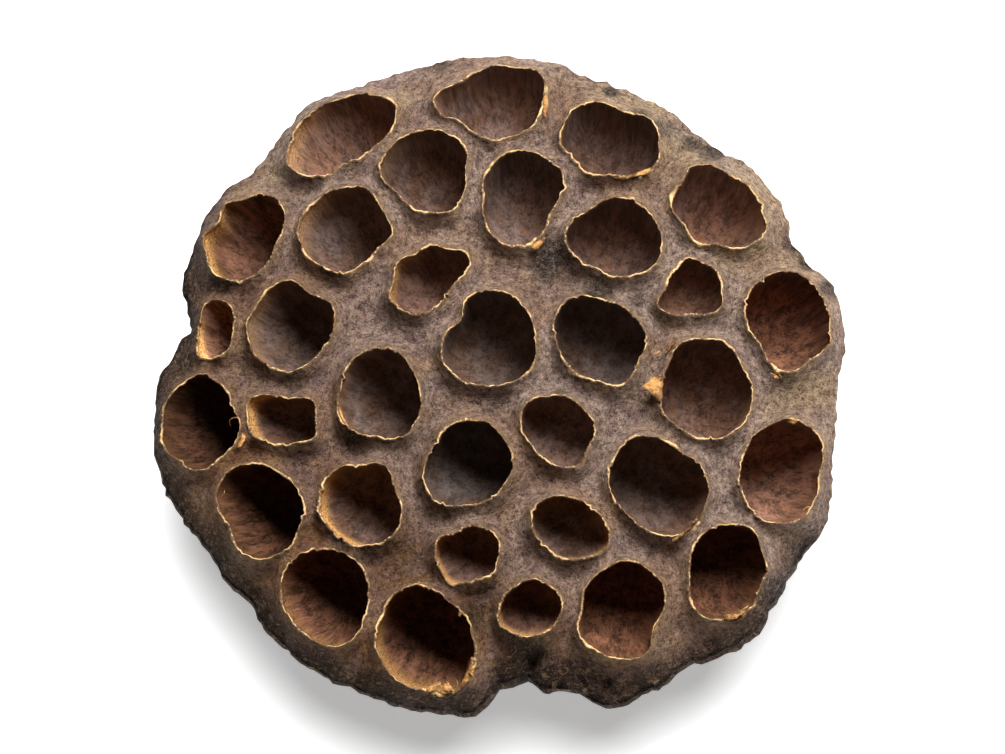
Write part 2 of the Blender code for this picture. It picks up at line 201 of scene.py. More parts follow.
CREASES = (
    (0.0009, 0.0024, (521, 684), (526, 670), (531, 660), (538, 652)),
    (0.0007, 0.0013, (531, 660), (524, 650), (526, 640)), (0.0006, 0.0012, (494, 684), (498, 672)),
    (0.0007, 0.0010, (560, 690), (556, 676), (566, 664)),
    (0.0008, 0.0014, (186, 336), (200, 348), (214, 366)),
    (0.0006, 0.0008, (600, 694), (610, 678)), (0.0006, 0.0008, (664, 690), (656, 672)),
    (0.0007, 0.0010, (808, 262), (798, 276)), (0.0007, 0.0008, (786, 232), (776, 238)),
    (0.0006, 0.0009, (700, 140), (684, 152)), (0.0006, 0.0009, (650, 104), (640, 92)),
    (0.0006, 0.0009, (834, 392), (824, 396)), (0.0006, 0.0008, (352, 690), (362, 678)),
    (0.0006, 0.0008, (262, 618), (272, 604)), (0.0006, 0.0008, (420, 704), (424, 690)),
)
ROUGH = (
    (500, 684, 18, 1.0), (528, 664, 18, 1.3), (556, 676, 18, 1.2), (590, 684, 20, 1.1),
    (626, 684, 20, 0.8), (664, 672, 20, 0.8), (706, 648, 22, 0.7), (764, 604, 20, 0.8),
    (800, 556, 18, 0.7), (470, 700, 16, 0.6), (165, 378, 18, 0.6), (186, 340, 12, 0.6),
    (190, 520, 22, 0.5), (240, 600, 24, 0.5), (640, 110, 18, 0.5), (700, 140, 18, 0.6),
    (805, 262, 14, 0.6), (830, 395, 12, 0.5), (330, 108, 16, 0.4), (590, 74, 12, 0.5),
)
THICK = (
    (632, 176, 16, 1.6), (300, 248, 12, 1.8), (372, 256, 10, 1.4), (668, 198, 14, 1.6),
    (340, 416, 14, 1.6), (316, 345, 14, 0.8), (600, 480, 22, 1.0), (680, 452, 14, 1.4),
    (686, 530, 14, 1.6), (540, 450, 12, 1.5), (468, 420, 8, 1.2), (466, 88, 12, 1.5),
    (545, 100, 14, 2.0), (540, 244, 12, 2.0), (466, 655, 14, 2.0), (736, 614, 14, 2.2),
    (592, 652, 14, 1.5), (438, 684, 12, 2.0), (668, 352, 10, 1.6), (380, 120, 14, 0.8),
    (350, 175, 14, 0.8), (558, 352, 10, 1.0), (580, 372, 12, 0.8), (290, 480, 10, 0.5),
    (224, 540, 14, 0.6), (340, 505, 12, 0.5), (288, 590, 12, 0.7), (775, 376, 10, 1.4),
)


# ------------------------------------------------------------------ plan helpers
view_right = np.cross([0.0, 1.0, 0.0], VIEW_BACK)
view_right /= np.linalg.norm(view_right)
view_up = np.cross(VIEW_BACK, view_right)
view_place = VIEW_TARGET + VIEW_BACK * VIEW_DISTANCE


def dome(points):
    far = np.linalg.norm(points[:, :2], axis=1)
    return POD_HEIGHT - DOME_DROP * (far / MEAN_RADIUS) ** DOME_POWER


def on_face(x, y, lift):
    """Where the sight line through a spot of the face's plan meets the dome, in metres."""
    x, y = np.atleast_1d(x).astype(float), np.atleast_1d(y).astype(float)
    ray = (
        -VIEW_BACK
        + np.outer((x - VIEW_MIDDLE[0]) * PLAN_UNIT / VIEW_DISTANCE, view_right)
        + np.outer((VIEW_MIDDLE[1] - y) * PLAN_UNIT / VIEW_DISTANCE, view_up)
    )
    height = np.full(len(x), POD_HEIGHT)
    for _ in range(5):
        reach = (view_place[2] - height) / -ray[:, 2]
        spot = view_place + ray * reach[:, None]
        height = dome(spot) + lift
    return spot[:, :2]


def around(values, turns):
    """Periodic Catmull-Rom through evenly spaced values."""
    values = np.asarray(values, float)
    count = len(values)
    place = (np.asarray(turns) % 1.0) * count
    first = np.floor(place).astype(int)
    part = place - first
    a, b, c, d = (values[(first + step) % count] for step in (-1, 0, 1, 2))
    return 0.5 * (
        2 * b
        + (c - a) * part
        + (2 * a - 5 * b + 4 * c - d) * part**2
        + (3 * b - a - 3 * c + d) * part**3
    )


def smooth_table(xs, ys, at):
    """Monotone cubic through a short table."""
    xs, ys = np.asarray(xs, float), np.asarray(ys, float)
    step = np.diff(xs)
    slope = np.diff(ys) / step
    rate = np.zeros_like(ys)
    rate[0], rate[-1] = slope[0], slope[-1]
    for i in range(1, len(xs) - 1):
        if slope[i - 1] * slope[i] > 0:
            rate[i] = 2 * slope[i - 1] * slope[i] / (slope[i - 1] + slope[i])
    at = np.clip(np.asarray(at, float), xs[0], xs[-1])
    i = np.clip(np.searchsorted(xs, at, side="right") - 1, 0, len(step) - 1)
    t = (at - xs[i]) / step[i]
    return (
        ys[i] * (2 * t**3 - 3 * t**2 + 1)
        + rate[i] * step[i] * (t**3 - 2 * t**2 + t)
        + ys[i + 1] * (-2 * t**3 + 3 * t**2)
        + rate[i + 1] * step[i] * (t**3 - t**2)
    )


def wobbles(points, size, shift=0.0, octaves=1):
    total = np.zeros(len(points))
    weight, gain = 1.0, 0.0
    for octave in range(octaves):
        scale = size / 2**octave
        total += weight * np.array(
            [
                noise.noise((p[0] / scale + shift, p[1] / scale - shift, p[2] / scale))
                for p in points
            ]
        )
        gain += weight
        weight *= 0.5
    return total / gain


def to_loop(points, loop, reach=None):
    """Distance of each point to a closed loop."""
    best = np.full(len(points), 1.0)
    centre = loop.mean(axis=0)
    radius = np.linalg.norm(loop - centre, axis=1).max()
    near = np.arange(len(points))
    if reach is not None:
        near = near[np.linalg.norm(points - centre, axis=1) < radius + reach]
    if not len(near):
        return best
    start = np.roll(loop, 1, axis=0)
    along = loop - start
    length = (along**2).sum(axis=1)
    for chunk in np.array_split(near, max(1, len(near) * len(loop) // 3000000 + 1)):
        if not len(chunk):
            continue
        rel = points[chunk][:, None, :] - start[None]
        part = np.clip((rel * along).sum(axis=2) / length, 0, 1)
        gap = rel - part[..., None] * along
        best[chunk] = np.sqrt((gap**2).sum(axis=2)).min(axis=1)
    return best


def inside(points, loop):
    start = np.roll(loop, 1, axis=0)
    hit = np.zeros(len(points), bool)
    for (x0, y0), (x1, y1) in zip(start, loop):
        crosses = (y0 > points[:, 1]) != (y1 > points[:, 1])
        if not crosses.any():
            continue
        at = x0 + (points[:, 1] - y0) / (y1 - y0 if y1 != y0 else 1e-12) * (x1 - x0)
        hit ^= crosses & (points[:, 0] < at)
    return hit


# ------------------------------------------------------------------ mouths
TURNS = np.arange(MOUTH_POINTS) / MOUTH_POINTS
ANGLES = 2 * math.pi * TURNS


def mouth_ring(number, cell):
    """Points of a mouth's ragged edge, and its smooth outward normals."""
    x, y, reaches = cell[:3]
    reach = around(reaches, TURNS)
    smooth = on_face(
        x + reach * np.cos(ANGLES), y - reach * np.sin(ANGLES), 0.72 * RIM_RISE + 0.6 * LIP_TALL - 0.0003
    )
    along = np.roll(smooth, -2, axis=0) - np.roll(smooth, 2, axis=0)
    normal = np.stack([along[:, 1], -along[:, 0]], axis=1)
    normal /= np.linalg.norm(normal, axis=1)[:, None]
    spoke = smooth - smooth.mean(axis=0)
    spoke /= np.linalg.norm(spoke, axis=1)[:, None]
    normal = 0.6 * normal + 0.4 * spoke
    normal /= np.linalg.norm(normal, axis=1)[:, None]
    ragged = np.array(
        [
            0.00026 * noise.noise((p[0] * 360, p[1] * 360, number * 3.1))
            + 0.00014 * noise.noise((p[0] * 1000, p[1] * 1000, number * 5.3))
            + 0.00013 * noise.noise((p[0] * 2500, p[1] * 2500, number * 7.7))
            + 0.00100 * max(0.0, noise.noise((p[0] * 800, p[1] * 800, number * 2.3 + 50)) - 0.42)
            - 0.00110 * max(0.0, noise.noise((p[0] * 1500, p[1] * 1500, number * 4.3 + 90)) - 0.40)
            for p in smooth
        ]
    )
    return smooth + normal * ragged[:, None], normal


rings, normals = [], []
for number, cell in enumerate(CELLS):
    ring, normal = mouth_ring(number, cell)
    rings.append(ring)
    normals.append(normal)

spots = sorted(
    (math.atan2(spot[1], spot[0]) % (2 * math.pi), math.hypot(*spot))
    for spot in on_face([place[0] for place in OUTLINE], [place[1] for place in OUTLINE], -0.001)
)


def outline_radius(angles):
    known = np.array([spot[0] for spot in spots])
    size = np.array([spot[1] for spot in spots])
    known = np.concatenate([known[-3:] - 2 * math.pi, known, known[:3] + 2 * math.pi])
    size = np.concatenate([size[-3:], size, size[:3]])
    return smooth_table(known, size, np.asarray(angles) % (2 * math.pi))


EDGE_ANGLES = 2 * math.pi * np.arange(OUTLINE_POINTS) / OUTLINE_POINTS
edge_radius = outline_radius(EDGE_ANGLES)
edge_radius += np.array(
    [
        0.00034 * noise.noise((math.cos(a) * 27, math.sin(a) * 27, 5.0))
        + 0.00036 * noise.noise((math.cos(a) * 61, math.sin(a) * 61, 8.0))
        for a in EDGE_ANGLES
    ]
)
outline = np.stack(
    [edge_radius * np.cos(EDGE_ANGLES), edge_radius * np.sin(EDGE_ANGLES)], axis=1
)

# room between each mouth and whatever is nearest to it
room = []
for number, ring in enumerate(rings):
    gap = to_loop(ring, outline)
    for other, loop in enumerate(rings):
        if other != number:
            gap = np.minimum(gap, to_loop(ring, loop, 0.004))
    room.append(gap)

def blobs(points, patches):
    total = np.zeros(len(points))
    for x, y, size, amount in patches:
        spot = on_face(x, y, 0.0)[0]
        far = np.linalg.norm(points[:, :2] - spot, axis=1) / (size * PLAN_UNIT)
        total += amount * np.exp(-(far**2))
    return total


thick, feet = [], []
for number, (ring, normal) in enumerate(zip(rings, normals)):
    vary = np.array(
        [
            1.0
            + 1.5 * noise.noise((p[0] * 330, p[1] * 330, 11.0 + number))
            + 0.9 * noise.noise((p[0] * 1100, p[1] * 1100, 17.0 + number))
            for p in ring
        ]
    )
    vary *= 1 + blobs(ring, THICK)
    width = np.minimum(LIP_THICK * np.clip(vary, 0.22, 4.0), 0.30 * room[number])
    foot = np.minimum(width + LIP_FOOT, 0.44 * room[number])
    thick.append(width)
    feet.append(ring + normal * foot[:, None])


# ------------------------------------------------------------------ the skin between the mouths
def hex_points():
    rows = int(2.2 * MEAN_RADIUS / (SKIN_GRID * 0.866))
    columns = int(2.2 * MEAN_RADIUS / SKIN_GRID)
    row, column = np.meshgrid(np.arange(rows), np.arange(columns), indexing="ij")
    x = -1.1 * MEAN_RADIUS + (column + 0.5 * (row % 2)) * SKIN_GRID
    y = -1.1 * MEAN_RADIUS + row * SKIN_GRID * 0.866
    points = np.stack([x.ravel(), y.ravel()], axis=1)
    shake = np.random.default_rng(7).uniform(-0.28, 0.28, points.shape) * SKIN_GRID
    points += shake
    points = points[np.linalg.norm(points, axis=1) < 1.1 * MEAN_RADIUS]
    points = points[inside(points, outline)]
    points = points[to_loop(points, outline) > 0.75 * SKIN_GRID]
    for foot in feet:
        centre = foot.mean(axis=0)
        radius = np.linalg.norm(foot - centre, axis=1).max() + SKIN_GRID
        near = np.linalg.norm(points - centre, axis=1) < radius
        local = points[near]
        bad = inside(local, foot) | (to_loop(local, foot) < 0.6 * SKIN_GRID)
        keep = np.ones(len(points), bool)
        keep[np.flatnonzero(near)[bad]] = False
        points = points[keep]
    return points


plan = [outline, *feet]
edges, firsts, total = [], [], 0
for loop in plan:
    firsts.append(total)
    edges += [(total + i, total + (i + 1) % len(loop)) for i in range(len(loop))]
    total += len(loop)
total_of_loops = total
plan.append(hex_points())
plan = np.concatenate(plan)
flat, _, faces, origins, _, _ = delaunay_2d_cdt(
    [Vector(p) for p in plan], edges, [], 0, 1e-8
)
flat = np.array([(p.x, p.y) for p in flat])
faces = np.array(faces)
middle = flat[faces].mean(axis=1)
keep = inside(middle, outline)
for foot in feet:
    centre = foot.mean(axis=0)
    radius = np.linalg.norm(foot - centre, axis=1).max()
    near = np.flatnonzero(keep & (np.linalg.norm(middle - centre, axis=1) < radius))
    keep[near[inside(middle[near], foot)]] = False
faces = faces[keep]
index_of = {}
for new, olds in enumerate(origins):
    for old in olds:
        index_of[old] = new

gap = np.full(len(flat), 1.0)
for ring in rings:
    gap = np.minimum(gap, to_loop(flat, ring, 0.012))
gap = np.minimum(gap, 0.012)
from_edge = to_loop(flat, outline)


flat3 = np.column_stack([flat, np.zeros(len(flat))])
away = 1 - np.exp(-gap / 0.0008)


def along_lines(points, lines):
    """How deep each point lies in a set of creases, each given by its spots, width and depth."""
    total = np.zeros(len(points))
    for width, depth, *spots_on in lines:
        path = on_face([p[0] for p in spots_on], [p[1] for p in spots_on], 0.0)
        far = np.full(len(points), 1.0)
        for start, end in zip(path[:-1], path[1:]):
            step = end - start
            part = np.clip(((points - start) @ step) / (step @ step), 0, 1)
            far = np.minimum(far, np.linalg.norm(points - start - part[:, None] * step, axis=1))
        total += depth * np.exp(-((far / width) ** 2))
    return total


skin_z = RIM_RISE * np.exp(-gap / RIM_WIDTH) - VALLEY_DEPTH * (1 - np.exp(-gap / VALLEY_WIDTH))
roll = np.clip(1 - from_edge / ROLL_WIDTH, 0, 1) ** 2 * (0.5 + 0.5 * away)
skin_z -= ROLL_DROP * roll
edge_pairs = np.unique(
    np.sort(np.concatenate([faces[:, [0, 1]], faces[:, [1, 2]], faces[:, [2, 0]]]), axis=1), axis=0
)
fixed = np.zeros(len(flat), bool)
fixed[[index_of[i] for i in range(total_of_loops)]] = True
valence = np.bincount(edge_pairs.ravel(), minlength=len(flat))
for _ in range(6):
    pull = np.bincount(edge_pairs[:, 0], skin_z[edge_pairs[:, 1]], len(flat))
    pull += np.bincount(edge_pairs[:, 1], skin_z[edge_pairs[:, 0]], len(flat))
    skin_z = np.where(fixed, skin_z, 0.3 * skin_z + 0.7 * pull / np.maximum(valence, 1))
skin_z += dome(flat)
skin_z += 0.00045 * wobbles(flat3, 0.0048, 61.0) * np.exp(-gap / 0.0016)
skin_z += away * (
    0.00060 * wobbles(flat3, 0.0060, 3.0)
    + 0.00034 * wobbles(flat3, 0.0024, 9.0)
    + 0.00010 * wobbles(flat3, 0.0010, 21.0)
)
shoulder = away * np.exp(-from_edge / 0.0035)
rugged = away * np.clip(blobs(flat, ROUGH), 0, 1.4)
skin_z -= rugged * 0.0016 * np.abs(wobbles(flat3, 0.0030, 91.0))
skin_z -= rugged * 0.0011 * np.abs(wobbles(flat3, 0.0016, 97.0))
skin_z -= shoulder * 0.0010 * np.abs(wobbles(flat3, 0.0030, 71.0))
skin_z += shoulder * 0.0005 * wobbles(flat3, 0.0014, 77.0)
skin_z -= away * along_lines(flat, CREASES)

verts = [np.column_stack([flat, skin_z])]
quads, tris = [], [faces]
face_kind = [np.zeros(len(faces), int)]  # 0 skin, 1 lip, 2 cell, 3 cut end
count = len(flat)


# Per-point colour channels for the skin: tan, reddish brown and deep-toned, each partly the skin's own
# patches and partly painted light and shade.
def tints_and_painted_light(points):
    turn = np.arctan2(points[:, 1], points[:, 0])
    # painted shade: the outline is made darker on the side turned away from the key light (lower left),
    # through the third channel
    shaded = np.clip(0.5 + 0.9 * np.cos(turn - math.radians(238)), 0, 1)
    far = outline_radius(turn) - np.linalg.norm(points[:, :2], axis=1)
    rim = 0.62 * shaded * np.exp(-((np.clip(far, 0, 1) / 0.0024) ** 2))
    # painted shade: a reddish-brown darkening that grows towards the lower left, the side away from the key
    # light, through the second channel
    painted_low_left_shade = 0.62 * np.clip(0.25 + 0.9 * np.cos(turn - math.radians(222)), 0, 1)
    painted_low_left_shade *= np.clip(np.linalg.norm(points[:, :2], axis=1) / 0.040, 0, 1)
    return np.clip(
        np.column_stack(
            [
                blobs(points, TAN),
                blobs(points, WARM_AND_SHADE) + painted_low_left_shade,
                blobs(points, DARK_AND_SHADE) + rim,
            ]
        ),
        -0.5,
        1.2,
    )


info = {
    "tint_and_painted_light": [tints_and_painted_light(flat)],
    "gap": [gap * 1000],
    "side": [np.exp(-from_edge / 0.0022) * 0.5],
    "depth": [np.zeros(len(flat))],
    "golden_and_lit": [np.zeros(len(flat))],
    "red": [np.zeros(len(flat))],
    "painted_light_and_flake_mark": [np.ones(len(flat))],
    "grain": [np.column_stack([flat, skin_z]) * 1000],
}
skin_height = skin_z


def add_block(points, gaps=0.0, side=0.0, depth=0.0, golden_and_lit=0.0, red=0.0, grain=None, painted_light_and_flake_mark=1.0):
    global count
    size = len(points)
    verts.append(points)
    full = lambda value: np.broadcast_to(np.asarray(value, float), size).copy()
    info["gap"].append(full(gaps))
    info["side"].append(full(side))
    info["depth"].append(full(depth))
    info["golden_and_lit"].append(full(golden_and_lit))
    info["red"].append(full(red))
    info["painted_light_and_flake_mark"].append(full(painted_light_and_flake_mark))
    info["tint_and_painted_light"].append(tints_and_painted_light(points))
    info["grain"].append(points * 1000 if grain is None else grain)
    start = count
    count += size
    return np.arange(start, start + size)


def band(upper, lower, kind):
    """Quads between two rings of the same length."""
    quad = np.column_stack([upper, np.roll(upper, -1), np.roll(lower, -1), lower])
    quads.append((quad, kind))


# ------------------------------------------------------------------ lips and cells
CELL_RINGS = 12
COARSE = ANGLES[::2]


def halve(upper, lower):
    """Triangles from a ring of many points to one of half as many."""
    nxt, low = np.roll(upper, -1), np.roll(lower, -1)
    third = np.roll(upper, -2)
    tris.append(np.column_stack([upper[::2], nxt[::2], lower]))
    tris.append(np.column_stack([nxt[::2], third[::2], low]))
    tris.append(np.column_stack([nxt[::2], low, lower]))
    face_kind.extend([np.full(len(lower), 2)] * 3)


for number, (cell, ring, normal) in enumerate(zip(CELLS, rings, normals)):
    x, y, reaches, red, gold_and_lit, gold_and_lit_side, painted_light_and_flake_mark = cell
    first = firsts[number + 1]
    base = np.array([index_of[first + i] for i in range(MOUTH_POINTS)])
    base_z = skin_height[base]
    even_z = base_z.copy()
    for _ in range(6):
        even_z = (even_z + np.roll(even_z, 1) + np.roll(even_z, -1)) / 3
    tall = np.array(
        [
            1.0
            + 0.80 * noise.noise((p[0] * 210, p[1] * 210, 31.0 + number))
            + 0.50 * noise.noise((p[0] * 800, p[1] * 800, 37.0 + number))
            + 0.40 * noise.noise((p[0] * 2200, p[1] * 2200, 39.0 + number))
            for p in ring
        ]
    )
    tall = LIP_TALL * np.clip(tall, 0.2, 2.3)
    tall *= np.clip(room[number] / 0.0009, 0.35, 1.0)
    width = thick[number]
    lean = np.array(
        [0.3 * noise.noise((p[0] * 350, p[1] * 350, 43.0 + number)) for p in ring]
    )
    outer = ring + normal * (width * (1.0 + 0.6 * lean))[:, None]
    inner = ring + normal * (width * 0.55 * lean)[:, None]
    low_points = ring - normal * 0.00005
    centre = ring.mean(axis=0)

    def lining(points, down):
        return np.column_stack([(points[:, :2] - centre) * 1000 + number * 17.0, down])

    # the ochre patch lies on the side of the mouth whose inner wall the key light reaches: partly the
    # lining's own colour, partly painted light
    turn = np.cos(ANGLES - math.radians(gold_and_lit_side))
    gold_and_lit_at = gold_and_lit * np.clip(0.45 + 0.75 * turn, 0, 1)
    a = add_block(
        np.column_stack([outer, even_z + tall]), 0.0, 0, 0, gold_and_lit_at, red,
        np.column_stack([outer, even_z + tall]) * 1000,
    )
    b = add_block(
        np.column_stack([inner, even_z + tall * 0.95]), 0.05, 0, 0, gold_and_lit_at, red,
        np.column_stack([inner, even_z + tall]) * 1000,
    )
    band(base, a, 0)
    band(a, b, 1)
    low = add_block(
        np.column_stack([low_points, even_z - 0.00035]),
        0, 0, 0.0, gold_and_lit_at, red, lining(low_points, np.full(MOUTH_POINTS, 0.0)), painted_light_and_flake_mark,
    )
    # the strip just inside the lip belongs to the lining, with its own copy of the edge
    band(b, low, 2)

    depth = DEPTH_PER_WIDTH * 2 * PLAN_UNIT * float(np.mean(reaches))
    top = np.array([centre[0], centre[1], float(even_z.mean())])
    axis = np.array([0, 0, POD_HEIGHT - CONVERGE_DEPTH]) - top
    axis /= -axis[2]
    offset = (np.column_stack([low_points, even_z - 0.00035]) - top)[::2]
    smooth_offset = offset.copy()
    for _ in range(5):
        smooth_offset = (
            smooth_offset + np.roll(smooth_offset, 1, axis=0) + np.roll(smooth_offset, -1, axis=0)
        ) / 3
    length = np.linalg.norm(offset[:, :2], axis=1)
    even = offset[:, :2] / length[:, None] * length.mean()
    gold_and_lit_coarse = gold_and_lit_at[::2]
    ring_before = None
    parts = np.linspace(0, 1, CELL_RINGS + 1)[1:-1]
    parts = np.sin(parts * math.pi / 2) ** 0.9
    parts = np.concatenate([[0.04], parts[parts > 0.075]])
    for part in parts:
        down = depth * part
        narrow = float(smooth_table(CELL_DEPTHS, CELL_WIDTHS, part)) * (
            1 - down / CONVERGE_DEPTH
        )
        fade = min(1.0, part / 0.12)
        shape = offset * (1 - fade) + smooth_offset * fade
        flat_off = shape[:, :2] * (1 - 0.75 * part) + even * 0.75 * part
        sag = np.array(
            [
                0.035 * noise.noise((math.cos(t) * 1.6, math.sin(t) * 1.6, number * 4 + part * 2))
                + 0.014 * noise.noise((math.cos(t) * 7, math.sin(t) * 7, number * 4 + part * 0.8))
                for t in COARSE
            ]
        )
        flat_off = flat_off * narrow * (1 + sag * min(1.0, part * 6))[:, None]
        points = np.column_stack(
            [
                top[0] + axis[0] * down + flat_off[:, 0],
                top[1] + axis[1] * down + flat_off[:, 1],
                top[2] - down + shape[:, 2] * (1 - part),
            ]
        )
        here = add_block(
            points, 0, 0, part, gold_and_lit_coarse * (1 - 0.75 * part), red,
            np.column_stack(
                [flat_off * 1000 + number * 17.0, np.full(CELL_POINTS, down * 1000)]
            ),
            painted_light_and_flake_mark,
        )
        if ring_before is None:
            halve(low, here)
        else:
            band(ring_before, here, 2)
        ring_before = here
    bottom = add_block(
        (top + axis * depth)[None], 0, 0, 1.0, 0.2 * gold_and_lit, red,
        np.array([[number * 17.0, number * 17.0, depth * 1000]]),
        painted_light_and_flake_mark,
    )
    fan = np.column_stack(
        [ring_before, np.roll(ring_before, -1), np.full(CELL_POINTS, bottom[0])]
    )
    tris.append(fan)
    face_kind.append(np.full(len(fan), 2))

# ------------------------------------------------------------------ the back
edge_ring = np.array([index_of[i] for i in range(OUTLINE_POINTS)])
edge_z = skin_height[edge_ring]
ring_before = edge_ring
back_parts = np.concatenate(
    [
        [0.006, 0.014, 0.024, 0.036],
        np.linspace(0.05, 0.88, 46),
    ]
)
own = edge_radius / MEAN_RADIUS
cosines, sines = np.cos(EDGE_ANGLES), np.sin(EDGE_ANGLES)
mean_edge = float(edge_z.mean())
for part in back_parts:
    size = float(smooth_table(BACK_PARTS, BACK_SIZES, part))
    lobed = float(smooth_table(BACK_PARTS, BACK_LOBES, part))
    fold = 1 + FURROW_DEPTH * math.sin(math.pi * part) * np.sin(
        FURROWS * EDGE_ANGLES + 2.2 * np.sin(2 * EDGE_ANGLES)
    )
    rough = np.array(
        [
            0.55 * noise.noise((c * 5.5, s * 5.5, part * 1.6 + 3))
            + 0.50 * (0.5 - abs(noise.noise((c * 15, s * 15, part * 2.2 + 9))) * 2)
            + 0.26 * (0.5 - abs(noise.noise((c * 38, s * 38, part * 4.0 + 19))) * 2)
            + 0.10 * noise.noise((c * 60, s * 60, part * 40))
            for c, s in zip(cosines, sines)
        ]
    )
    swell = min(1.0, part / 0.05) * (0.55 + 0.45 * math.sin(math.pi * min(1, part * 1.05)))
    radius = MEAN_RADIUS * size * (1 + (own - 1) * lobed) * fold
    radius = radius + 0.00062 * swell * rough * min(1.0, (1.06 - part) * 3)
    height = edge_z + (mean_edge - edge_z) * min(1.0, part * 2.5)
    points = np.column_stack([radius * cosines, radius * sines, height * (1 - part)])
    here = add_block(
        points, 6.0, min(1.0, 0.5 + part * 4), 0, 0, 0,
        np.column_stack(
            [cosines * 48, sines * 48, np.full(OUTLINE_POINTS, -part * 9.0)]
        ),
    )
    band(ring_before, here, 0)
    ring_before = here

stub = (
    (1.30, 0.0066), (1.16, 0.0060), (1.07, 0.0053), (1.02, 0.0045), (1.0, 0.0034),
    (0.99, 0.0022), (0.995, 0.0010), (1.0, 0.0003), (0.985, 0.0),
)
for size, height in stub:
    rough = np.array(
        [
            1
            + 0.022 * (0.5 - 2 * abs(noise.noise((c * 4, s * 4, height * 60))))
            + 0.018 * noise.noise((c * 11, s * 11, height * 90))
            for c, s in zip(cosines, sines)
        ]
    )
    if height == 0.0:
        rough = rough * 0.995
    radius = STUB_RADIUS * size * rough
    points = np.column_stack(
        [radius * cosines, radius * sines, np.full(OUTLINE_POINTS, height)]
    )
    here = add_block(
        points, 6.0, 1.0, 0, 0, 0,
        np.column_stack(
            [cosines * 48, sines * 48, np.full(OUTLINE_POINTS, -9.0 - (0.007 - height) * 300)]
        ),
    )
    band(ring_before, here, 0)
    ring_before = here

# the cut end: flat, with the stem's air channels sunk into it
holes = [(0.0, 0.0, 0.00055)]
holes += [
    (0.0031 * math.cos(t), 0.0031 * math.sin(t), 0.00105 if i % 2 else 0.00080)
    for i, t in enumerate(np.linspace(0.2, 0.2 + 2 * math.pi, 9)[:-1])
]
rim_points = verts[-1][:, :2]
cut_loops = [rim_points]
HOLE_POINTS = 20
hole_turn = 2 * math.pi * np.arange(HOLE_POINTS) / HOLE_POINTS
for hx, hy, hr in holes:
    cut_loops.append(
        np.column_stack([hx + hr * np.cos(hole_turn), hy + hr * 0.9 * np.sin(hole_turn)])
    )
cut_edges, cut_first, total = [], [], 0
for loop in cut_loops:
    cut_first.append(total)
    cut_edges += [(total + i, total + (i + 1) % len(loop)) for i in range(len(loop))]
    total += len(loop)
cut_plan = np.concatenate(cut_loops)
cut_flat, _, cut_faces, cut_origins, _, _ = delaunay_2d_cdt(
    [Vector(p) for p in cut_plan], cut_edges, [], 0, 1e-9
)
cut_flat = np.array([(p.x, p.y) for p in cut_flat])
cut_faces = np.array(cut_faces)
cut_middle = cut_flat[cut_faces].mean(axis=1)
cut_keep = inside(cut_middle, rim_points)
for loop in cut_loops[1:]:
    cut_keep &= ~inside(cut_middle, loop)
cut_index = {}
for new, olds in enumerate(cut_origins):
    for old in olds:
        cut_index[old] = new
fresh = add_block(np.column_stack([cut_flat, np.zeros(len(cut_flat))]), 6.0, 1.0)
lookup = fresh.copy()
for i in range(OUTLINE_POINTS):
    lookup[cut_index[i]] = ring_before[i]
tris.append(lookup[cut_faces[cut_keep]])
face_kind.append(np.full(int(cut_keep.sum()), 3))
for loop, first in zip(cut_loops[1:], cut_first[1:]):
    ring_of = np.array([lookup[cut_index[first + i]] for i in range(HOLE_POINTS)])
    centre = loop.mean(axis=0)
    for scale, height in ((0.93, 0.0006), (0.86, 0.0016)):
        here = add_block(
            np.column_stack(
                [centre + (loop - centre) * scale, np.full(HOLE_POINTS, height)]
            ),
            6.0, 1.0,
        )
        band(ring_of, here, 3)
        ring_of = here
    tip = add_block(np.array([[centre[0], centre[1], 0.0018]]), 6.0, 1.0)
    fan = np.column_stack([ring_of, np.roll(ring_of, -1), np.full(HOLE_POINTS, tip[0])])
    tris.append(fan)
    face_kind.append(np.full(len(fan), 3))

